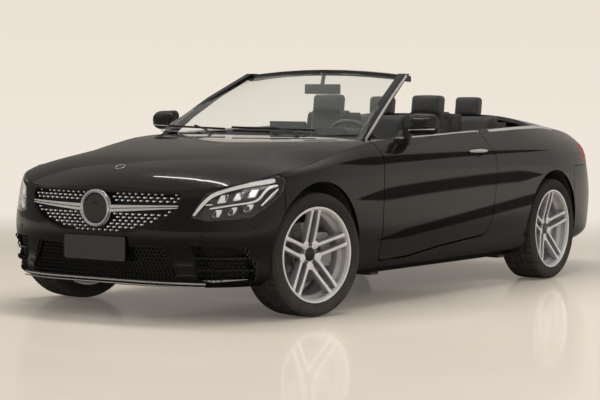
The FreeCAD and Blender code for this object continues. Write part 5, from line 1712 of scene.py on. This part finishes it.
@dataclass
class Seats:
    """The four seats: cushions with their side wings, backs, head rests and rails."""

    padding: Padding = field(default_factory=Padding)
    place: float = 0.37
    half: float = 0.24
    wing: float = 0.078
    softness: float = 0.9

    def build(self) -> None:
        """Make the left front seat and the left half of the bench, and mirror both."""
        soft, hard = self._front()
        rear = self._rear()
        for side in Side:
            seat = Bench.copied(soft, f"front_seat_{side.word}", side.place)
            dress(seat, LEATHER, stands_for=["front_seats"])
            frame_piece = Bench.copied(hard, f"front_seat_frame_{side.word}", side.place)
            dress(frame_piece, GRAINED)
            bench = Bench.copied(rear, f"rear_seat_{side.word}", side.place)
            dress(bench, LEATHER, stands_for=["rear_seats"])
        for piece in (soft, hard, rear):
            bpy.data.objects.remove(piece)

    def _front(self) -> tuple[Mesh, Mesh]:
        """The left front seat's soft pads, and its shell and rails."""
        x, pad = self.place, self.padding.cushion
        pads = [pad("cushion", [(-0.136, 0.306, 0.04), (-0.15, 0.414, 0.045), (0.33, 0.376, 0.03),
                                (0.405, 0.306, 0.02)], x - 0.16, x + 0.16),
                pad("back", [(0.352, 0.345, 0.02), (0.428, 0.35, 0.03), (0.59, 1.035, 0.035),
                             (0.556, 1.098, 0.022), (0.512, 1.098, 0.022), (0.386, 0.56, 0.06)],
                    x - 0.145, x + 0.145),
                pad("rest", [(0.46, 1.066, 0.025), (0.548, 1.066, 0.025), (0.566, 1.188, 0.03),
                             (0.474, 1.188, 0.03)], x - 0.105, x + 0.105)]
        wing_ring = [(-0.118, 0.312, 0.04), (-0.127, 0.446, 0.045), (0.308, 0.413, 0.045),
                     (0.392, 0.312, 0.03)]
        back_wing_ring = [(0.33, 0.41, 0.03), (0.432, 0.41, 0.03), (0.57, 0.948, 0.03),
                          (0.518, 0.974, 0.028), (0.36, 0.6, 0.08)]
        back_half = self.half - 0.015
        for sign in (1, -1):
            pads.append(pad("cushion_wing", wing_ring, x + sign * (self.half - self.wing),
                            x + sign * self.half))
            pads.append(pad("back_wing", back_wing_ring, x + sign * (back_half - self.wing),
                            x + sign * back_half))
        for piece in pads:
            coat(piece, LEATHER)
        shell_ring = rounded_ring([(0.404, 0.4, 0.02), (0.446, 0.405, 0.012), (0.606, 1.03, 0.03),
                                   (0.586, 1.08, 0.01), (0.56, 1.06, 0.01)], 4)
        parts = [Bench.upright("shell", x - 0.196, shell_ring, 0.392, 0.008)]
        for sign in (1, -1):
            rail = x + sign * 0.18
            parts.append(Bench.block("rail", (rail - 0.016, -0.102, 0.2155), (rail + 0.016, 0.382, 0.235),
                                     0.003))
            parts.append(Bench.block("rail_slide", (rail - 0.011, -0.08, 0.233),
                                     (rail + 0.011, 0.34, 0.318), 0.003))
            post = x + sign * 0.05
            parts.append(Bench.pipe("rest_post", [Vector((post, 0.505, 1.04)), Vector((post, 0.515, 1.1))],
                                    0.006))
        side_trim = rounded_ring([(-0.1, 0.296, 0.02), (-0.105, 0.345, 0.02), (0.37, 0.335, 0.03),
                                  (0.395, 0.296, 0.02)], 4)
        parts.append(Bench.upright("side_trim", x + 0.2385, side_trim, 0.007, 0.002))
        hard = Bench.joined("seat_frame", parts)
        coat(hard, GRAINED)
        return Bench.joined("seat", pads), Bench.smooth(hard)

    def _rear(self) -> Mesh:
        """The left half of the rear bench, with its head rest and the strip in the middle."""
        pad = self.padding.cushion
        cushion = [(0.622, 0.339, 0.03), (0.606, 0.492, 0.045), (0.898, 0.462, 0.03), (0.952, 0.339, 0.02)]
        back = [(0.905, 0.36, 0.03), (0.983, 0.36, 0.012), (1.1, 0.99, 0.01), (1.1, 1.068, 0.018),
                (1.014, 1.068, 0.035), (0.906, 0.56, 0.06)]
        pads = [pad("bench", cushion, 0.085, 0.585), pad("bench_back", back, 0.085, 0.585),
                pad("bench_middle", cushion, 0.0, 0.088), pad("bench_back_middle", back, 0.0, 0.088),
                pad("bench_rest", [(1.086, 1.064, 0.018), (1.168, 1.064, 0.018), (1.182, 1.184, 0.028),
                                   (1.102, 1.184, 0.028)], 0.242, 0.418)]
        for piece in pads:
            coat(piece, LEATHER)
        return Bench.joined("bench", pads)


@dataclass
class Cabin:
    """The dashboard's fittings, the console, the steering wheel, the mirror and the door linings."""

    wheel_centre: tuple[float, float, float] = (0.37, -0.385, 0.858)
    wheel_axis: tuple[float, float, float] = (0.0, 0.9207, 0.3903)
    rim_radius: float = 0.178
    lining: float = 0.737
    vents: tuple[float, ...] = (-0.585, -0.105, 0.0, 0.105, 0.585)

    def build(self) -> None:
        """Make all fittings of the cabin."""
        dress_nodes(SOFT, "dashboard", "centre_console")
        self._dashboard()
        self._console()
        self._steering_wheel()
        self._rear_view_mirror()
        for side in Side:
            self._door_lining(side)

    def _dashboard(self) -> None:
        """Air vents, the screen, the instruments' glass, a bright strip and two stalks."""
        probe = Probe("dashboard")
        vents, blades = [], []
        profile = [(0.000, 0.03), (0.000, 0.041), (0.007, 0.042), (0.01, 0.04), (0.009, 0.036),
                   (0.004, 0.0345), (0.000, 0.03)]
        for x in self.vents:
            met = probe.hit((x, 0.2, 0.845), -Y)
            centre = met[0] if met else Vector((x, -0.47, 0.845))
            vents.append(Bench.turned("vent", profile, centre, Y, 40))
            for row in range(-2, 3):
                half = math.sqrt(0.034 ** 2 - (row * 0.011) ** 2)
                blades.append(Bench.block("vent_blade",
                                          centre + Vector((-half, -0.002, row * 0.011 - 0.0012)),
                                          centre + Vector((half, 0.004, row * 0.011 + 0.0012))))
        dress(Bench.smooth(Bench.joined("air_vents", vents)), SATIN)
        dress(Bench.joined("air_vent_blades", blades), GRAINED)
        screen = Bench.block("screen_glass", (-0.123, -0.5305, 0.9275), (0.123, -0.5275, 1.016), 0.003, 3)
        dress(screen, SCREEN)
        panel = Bench.block("instrument_glass", (0.268, -0.5005, 0.918), (0.472, -0.4985, 0.972), 0.008, 3)
        dress(panel, SCREEN)
        path = probe.along([(-0.62 + 0.04 * k, 0.2, 0.775) for k in range(32)], -Y, 0.002)
        lay_strip("dashboard_strip", path, Y, bar_ring(0.011, 0.003, 0.002), SATIN)
        hub = Vector(self.wheel_centre) - Vector(self.wheel_axis) * 0.075
        stalks = [Bench.pipe("stalk", [hub + X * sign * 0.03, hub + Vector((sign * 0.09, 0.004, 0.006)),
                                       hub + Vector((sign * 0.15, 0.006, 0.01))], 0.0065)
                  for sign in (1, -1)]
        dress(Bench.smooth(Bench.joined("column_stalks", stalks)), GRAINED)

    def _console(self) -> None:
        """The console's gloss panel, its knob and switches, and a padded arm rest."""
        panel = Bench.block("console_panel", (-0.092, -0.285, 0.5895), (0.092, 0.01, 0.5925), 0.0012)
        dress(panel, GLOSS)
        knob = Bench.turned("console_knob", [(0.0, 0.0), (0.0, 0.026), (0.014, 0.0265), (0.017, 0.024),
                                             (0.018, 0.018), (0.0172, 0.0)], (0, -0.06, 0.5925), Z, 48)
        dress(Bench.smooth(knob), SATIN)
        keys = [Bench.block("console_key", (-0.078 + 0.04 * k, -0.255, 0.5922),
                            (-0.044 + 0.04 * k, -0.232, 0.5955), 0.0012) for k in range(4)]
        dress(Bench.joined("console_keys", keys), GRAINED)
        dress(self._arm_rest(), LEATHER)

    def _arm_rest(self) -> Mesh:
        """The padded lid of the console."""
        ring = [(0.035, 0.592, 0.008), (0.035, 0.625, 0.018), (0.322, 0.625, 0.018), (0.322, 0.592, 0.008)]
        return Padding(voxel=0.006, cap=0.006).cushion("console_arm_rest", ring, -0.1, 0.1)

    def _steering_wheel(self) -> None:
        """A leather rim, three spokes with bright accents and a plain boss."""
        centre, axis = Vector(self.wheel_centre), Vector(self.wheel_axis)
        ring = [(0.0146 * math.cos(k * math.tau / 16), self.rim_radius + 0.0146 * math.sin(k * math.tau / 16))
                for k in range(17)]
        rim = Bench.turned("wheel_rim", ring, centre, axis, 120)
        coat(rim, LEATHER)
        boss = Bench.turned("wheel_boss", [(-0.026, 0.0), (-0.026, 0.058), (0.002, 0.062), (0.01, 0.058),
                                           (0.016, 0.045), (0.0185, 0.025), (0.019, 0.0)], centre, axis, 56)
        coat(boss, SOFT)
        up = axis.cross(X)
        spokes = [self._wheel_spoke(centre, axis, X * math.cos(turn) - up * math.sin(turn), 0.03, GLOSS)
                  for turn in map(math.radians, (200, 340))]
        down = X * math.cos(math.radians(270)) - up * math.sin(math.radians(270))
        spokes.append(self._wheel_spoke(centre, axis, down if down.z < 0 else -down, 0.036, SATIN))
        wheel = Bench.joined("steering_wheel_dressed", [rim, boss] + spokes)
        dress(Bench.smooth(wheel, 40), LEATHER, Body.STEERING_WHEEL.value, ["steering_wheel"])

    @staticmethod
    def _wheel_spoke(centre: Vector, axis: Vector, way: Vector, width: float, finish: Finish) -> Mesh:
        """One spoke of the steering wheel, which runs from its boss in a given way."""
        across = axis.cross(way)
        sections = []
        for reach, half, thick, lift in ((0.045, width, 0.012, -0.002), (0.1, width * 0.72, 0.01, -0.006),
                                         (0.17, width * 0.6, 0.008, -0.003)):
            base = centre + way * reach + axis * lift
            sections.append([base + across * a + axis * b for a, b in bar_ring(half, thick, 0.004, 3)])
        piece = Bench.hull("wheel_spoke", sections)
        coat(piece, finish)
        return piece

    def _rear_view_mirror(self) -> None:
        """The glass of the mirror inside the windscreen."""
        glass = Bench.block("cabin_mirror_glass", (-0.114, -0.1402, 1.1905), (0.114, -0.1385, 1.2395), 0.0008)
        dress(glass, MIRROR_GLASS)

    def _door_lining(self, side: Side) -> None:
        """The inside of a door: lining, arm rest, pocket, speaker ring and pull."""
        wall = self.lining
        soft_parts = []
        for name, corners, depth, edge, segments in (
                ("lining", [(-0.88, 0.33, 0.04), (-0.885, 0.86, 0.05), (0.3, 0.905, 0.08),
                            (0.395, 0.7, 0.12), (0.31, 0.39, 0.06)], 0.007, 0.003, 2),
                ("arm_rest", [(-0.42, 0.655, 0.03), (-0.4, 0.7, 0.02), (0.18, 0.69, 0.03),
                              (0.23, 0.63, 0.03), (-0.3, 0.6, 0.05)], 0.052, 0.012, 3),
                ("pocket", [(-0.72, 0.37, 0.03), (-0.7, 0.47, 0.03), (0.02, 0.475, 0.05),
                            (0.1, 0.37, 0.03)], 0.03, 0.008, 3)):
            ring = rounded_ring(corners, 5)
            soft_parts.append(Bench.upright(name, wall + 0.002, ring, -depth, edge, segments))
        soft = Bench.smooth(Bench.joined("door_lining", soft_parts))
        coat(soft, SOFT)
        speaker = Bench.turned("speaker", [(0.004, 0.0), (0.004, 0.07), (0.008, 0.074), (0.008, 0.08),
                                           (0.0, 0.081)], (wall - 0.002, -0.66, 0.56), -X, 48)
        handle = [Vector((wall - depth, y, z)) for depth, y, z in (
            (0.006, -0.35, 0.77), (0.034, -0.33, 0.775), (0.04, -0.24, 0.785), (0.034, -0.15, 0.795),
            (0.006, -0.13, 0.8))]
        pull = Bench.swept("pull", handle, Z, bar_ring(0.006, 0.011, 0.004))
        bright = Bench.smooth(Bench.joined("door_fittings", [speaker, pull]))
        coat(bright, SATIN)
        for piece, finish, slot in ((soft, SOFT, Slot.SOFT_PANEL), (bright, SATIN, Slot.BRIGHT)):
            dress(Bench.copied(piece, f"{piece.name}_{side.word}", side.place), finish, Body.door(side))
            bpy.data.objects.remove(piece)


@dataclass
class SideTrim:
    """The outside mirrors' glass and accents, and the waist strips of the doors."""

    mirror: tuple[float, float, float] = (0.92, -0.508, 1.012)
    waist: float = 0.8185

    def build(self) -> None:
        """Make the trim of both sides."""
        dress_nodes(GLOSS, "mirror_left", "mirror_right")
        dress_nodes(CHROME, "handle_left", "handle_right")
        for side in Side:
            self._mirror(side)
            self._waist(side)

    def _mirror(self, side: Side) -> None:
        """The mirror's glass, and the bright line along the lower edge of its housing."""
        x, y, z = self.mirror
        ring = rounded_ring([(x - 0.078, z - 0.055, 0.026), (x + 0.077, z - 0.044, 0.036),
                             (x + 0.077, z + 0.05, 0.036), (x - 0.078, z + 0.055, 0.026)], 8)
        glass = Bench.prism("mirror_glass", [Vector((a, y - 0.0015, b)) for a, b in ring], Y * 0.004, 0.001)
        copy = Bench.copied(glass, f"mirror_glass_{side.word}", side.place)
        dress(copy, MIRROR_GLASS, Body.door(side))
        bpy.data.objects.remove(glass)
        starts = [((x - 0.07 + 0.15 * step / 20) * side.value, y - 0.4, z - 0.03 + 0.006 * step / 20)
                  for step in range(21)]
        path = Probe(f"mirror_{side.word}").along(starts, Y, 0.0008)
        lay_strip(f"mirror_line_{side.word}", path, -Y, bar_ring(0.0035, 0.0015, 0.001), CHROME,
                  body=Body.door(side))

    def _waist(self, side: Side) -> None:
        """The bright strip along the top of the door, in line with the one behind it."""
        probe = Probe(f"door_{side.word}")
        starts = [(self.waist * side.value, -0.62 + 0.035 * step, 1.4) for step in range(31)]
        path = [point + Z * 0.002 for point in probe.along(starts, -Z)]
        lay_strip(f"waist_strip_{side.word}", path, Z, bar_ring(0.006, 0.004, 0.002, 3), GLOWING_BRIGHTWORK,
                  body=Body.door(side))


@dataclass
class Rear:
    """What the tail has besides its panels: light bars, reflectors, a lower panel and tailpipes."""

    tip: tuple[float, float, float] = (0.47, 2.25, 0.27)
    bars: tuple = ((-0.545, -0.965, 0.842, 0.838), (-0.565, -0.95, 0.8, 0.796))
    bar_steps: int = 26
    fins: tuple[float, ...] = (-0.24, -0.08, 0.08, 0.24)

    def build(self) -> None:
        """Make the tail's own pieces."""
        for side in Side:
            self._lamp(side)
            self._tailpipe(side)
            self._reflector(side)
        self._valance()
        self._high_lamp()

    @staticmethod
    def _seen(side: Side, out: float, back: float) -> tuple[Vector, Vector]:
        """The directions towards one rear corner and across it."""
        return (Vector((out * side.value, back, 0)).normalized(),
                Vector((back * side.value, -out, 0)).normalized())

    def _lamp(self, side: Side) -> None:
        """Two bright red bars just over the lamp's cover."""
        probe = Probe("tail_lamps")
        aim, across = self._seen(side, 0.64, 0.77)
        for order, (inner, outer, low, high) in enumerate(self.bars):
            starts = []
            for step in range(self.bar_steps + 1):
                share = step / self.bar_steps
                start = aim * 2.9 + across * (inner + (outer - inner) * share)
                start.z = low + (high - low) * share
                starts.append(start)
            lay_strip(f"tail_light_bar_{order}_{side.word}", probe.along(starts, -aim, 0.0004), aim,
                      bar_ring(0.0055, 0.001, 0.0008), RED_CLEAR)

    def _tailpipe(self, side: Side) -> None:
        """A bright hollow trim over the end of the exhaust's pipe, closed just inside by a black disc of
        painted shade for the pipe's dark inside.
        """
        x, y, z = self.tip
        centre = (x * side.value, y, z)
        profile = [(-0.15, 0.0405), (0.008, 0.0425), (0.0125, 0.042), (0.013, 0.04), (0.01, 0.0385),
                   (0.002, 0.038), (0.002, 0.0402), (-0.15, 0.0403), (-0.15, 0.0405)]
        sleeve = Bench.turned("tailpipe", profile, centre, Y, 64)
        coat(sleeve, CHROME)
        # Painted shade: a flat black disc just inside the mouth stands for the dark inside of the pipe.
        bore = Bench.turned("tailpipe_bore", [(0.0008, 0.0), (0.0008, 0.04)], centre, Y, 48)
        coat(bore, BLACK_MESH_AND_SHADE)
        pipe = Bench.joined(f"tailpipe_trim_{side.word}", [Bench.smooth(sleeve), bore])
        dress(pipe, CHROME)

    def _reflector(self, side: Side) -> None:
        """A slim reflector low on the bumper's corner."""
        aim, across = self._seen(side, 0.45, 0.89)
        starts = [aim * 3.0 + across * (-0.62 + 0.13 * step / 12) for step in range(13)]
        for start in starts:
            start.z = 0.392
        lay_strip(f"rear_reflector_{side.word}", Probe("rear_bumper").along(starts, -aim, 0.0006), aim,
                  bar_ring(0.011, 0.0016, 0.001), RED)

    def _valance(self) -> None:
        """The grained lower panel between the tailpipes, with its four fins."""
        probe = Probe("rear_bumper")
        rows = []
        for level in range(5):
            height = 0.285 + 0.048 * level / 4
            row = probe.along([(-0.4 + 0.025 * step, BEHIND, height) for step in range(33)], -Y, 0.0012)
            if len(row) == 33:
                rows.append(row)
        panel = Bench.sheet("rear_valance", rows)
        Bench.modify(panel, "SOLIDIFY", thickness=0.003, offset=0)
        fins = [Bench.block("fin", place + Vector((-0.004, -0.02, -0.03)),
                            place + Vector((0.004, 0.012, 0.026)), 0.002)
                for place in probe.along([(x, BEHIND, 0.3) for x in self.fins], -Y)]
        piece = Bench.joined("rear_valance", [panel] + fins)
        dress(Bench.smooth(piece), GRAINED)

    def _high_lamp(self) -> None:
        """The third brake light along the rear edge of the boot lid."""
        starts = [(-0.2 + 0.02 * step, BEHIND, 0.872) for step in range(21)]
        lay_strip("high_brake_light", Probe("boot_lid").along(starts, -Y, 0.0006), Y,
                  bar_ring(0.004, 0.0012, 0.0008), RED, Body.BOOT_LID.value)


def main() -> None:
    """Dress the whole car and set it in its studio."""
    logging.basicConfig(level=logging.INFO, format="%(levelname)s %(message)s")
    Studio().build()
    shell = Shell()
    shell.dress()
    shell.pillar_trims()
    shell.wipers()
    Grille().build()
    FrontTrim().build()
    Headlamps().build()
    Wheels().build()
    SideTrim().build()
    Rear().build()
    Cabin().build()
    Seats().build()


if __name__ == "__main__":
    main()
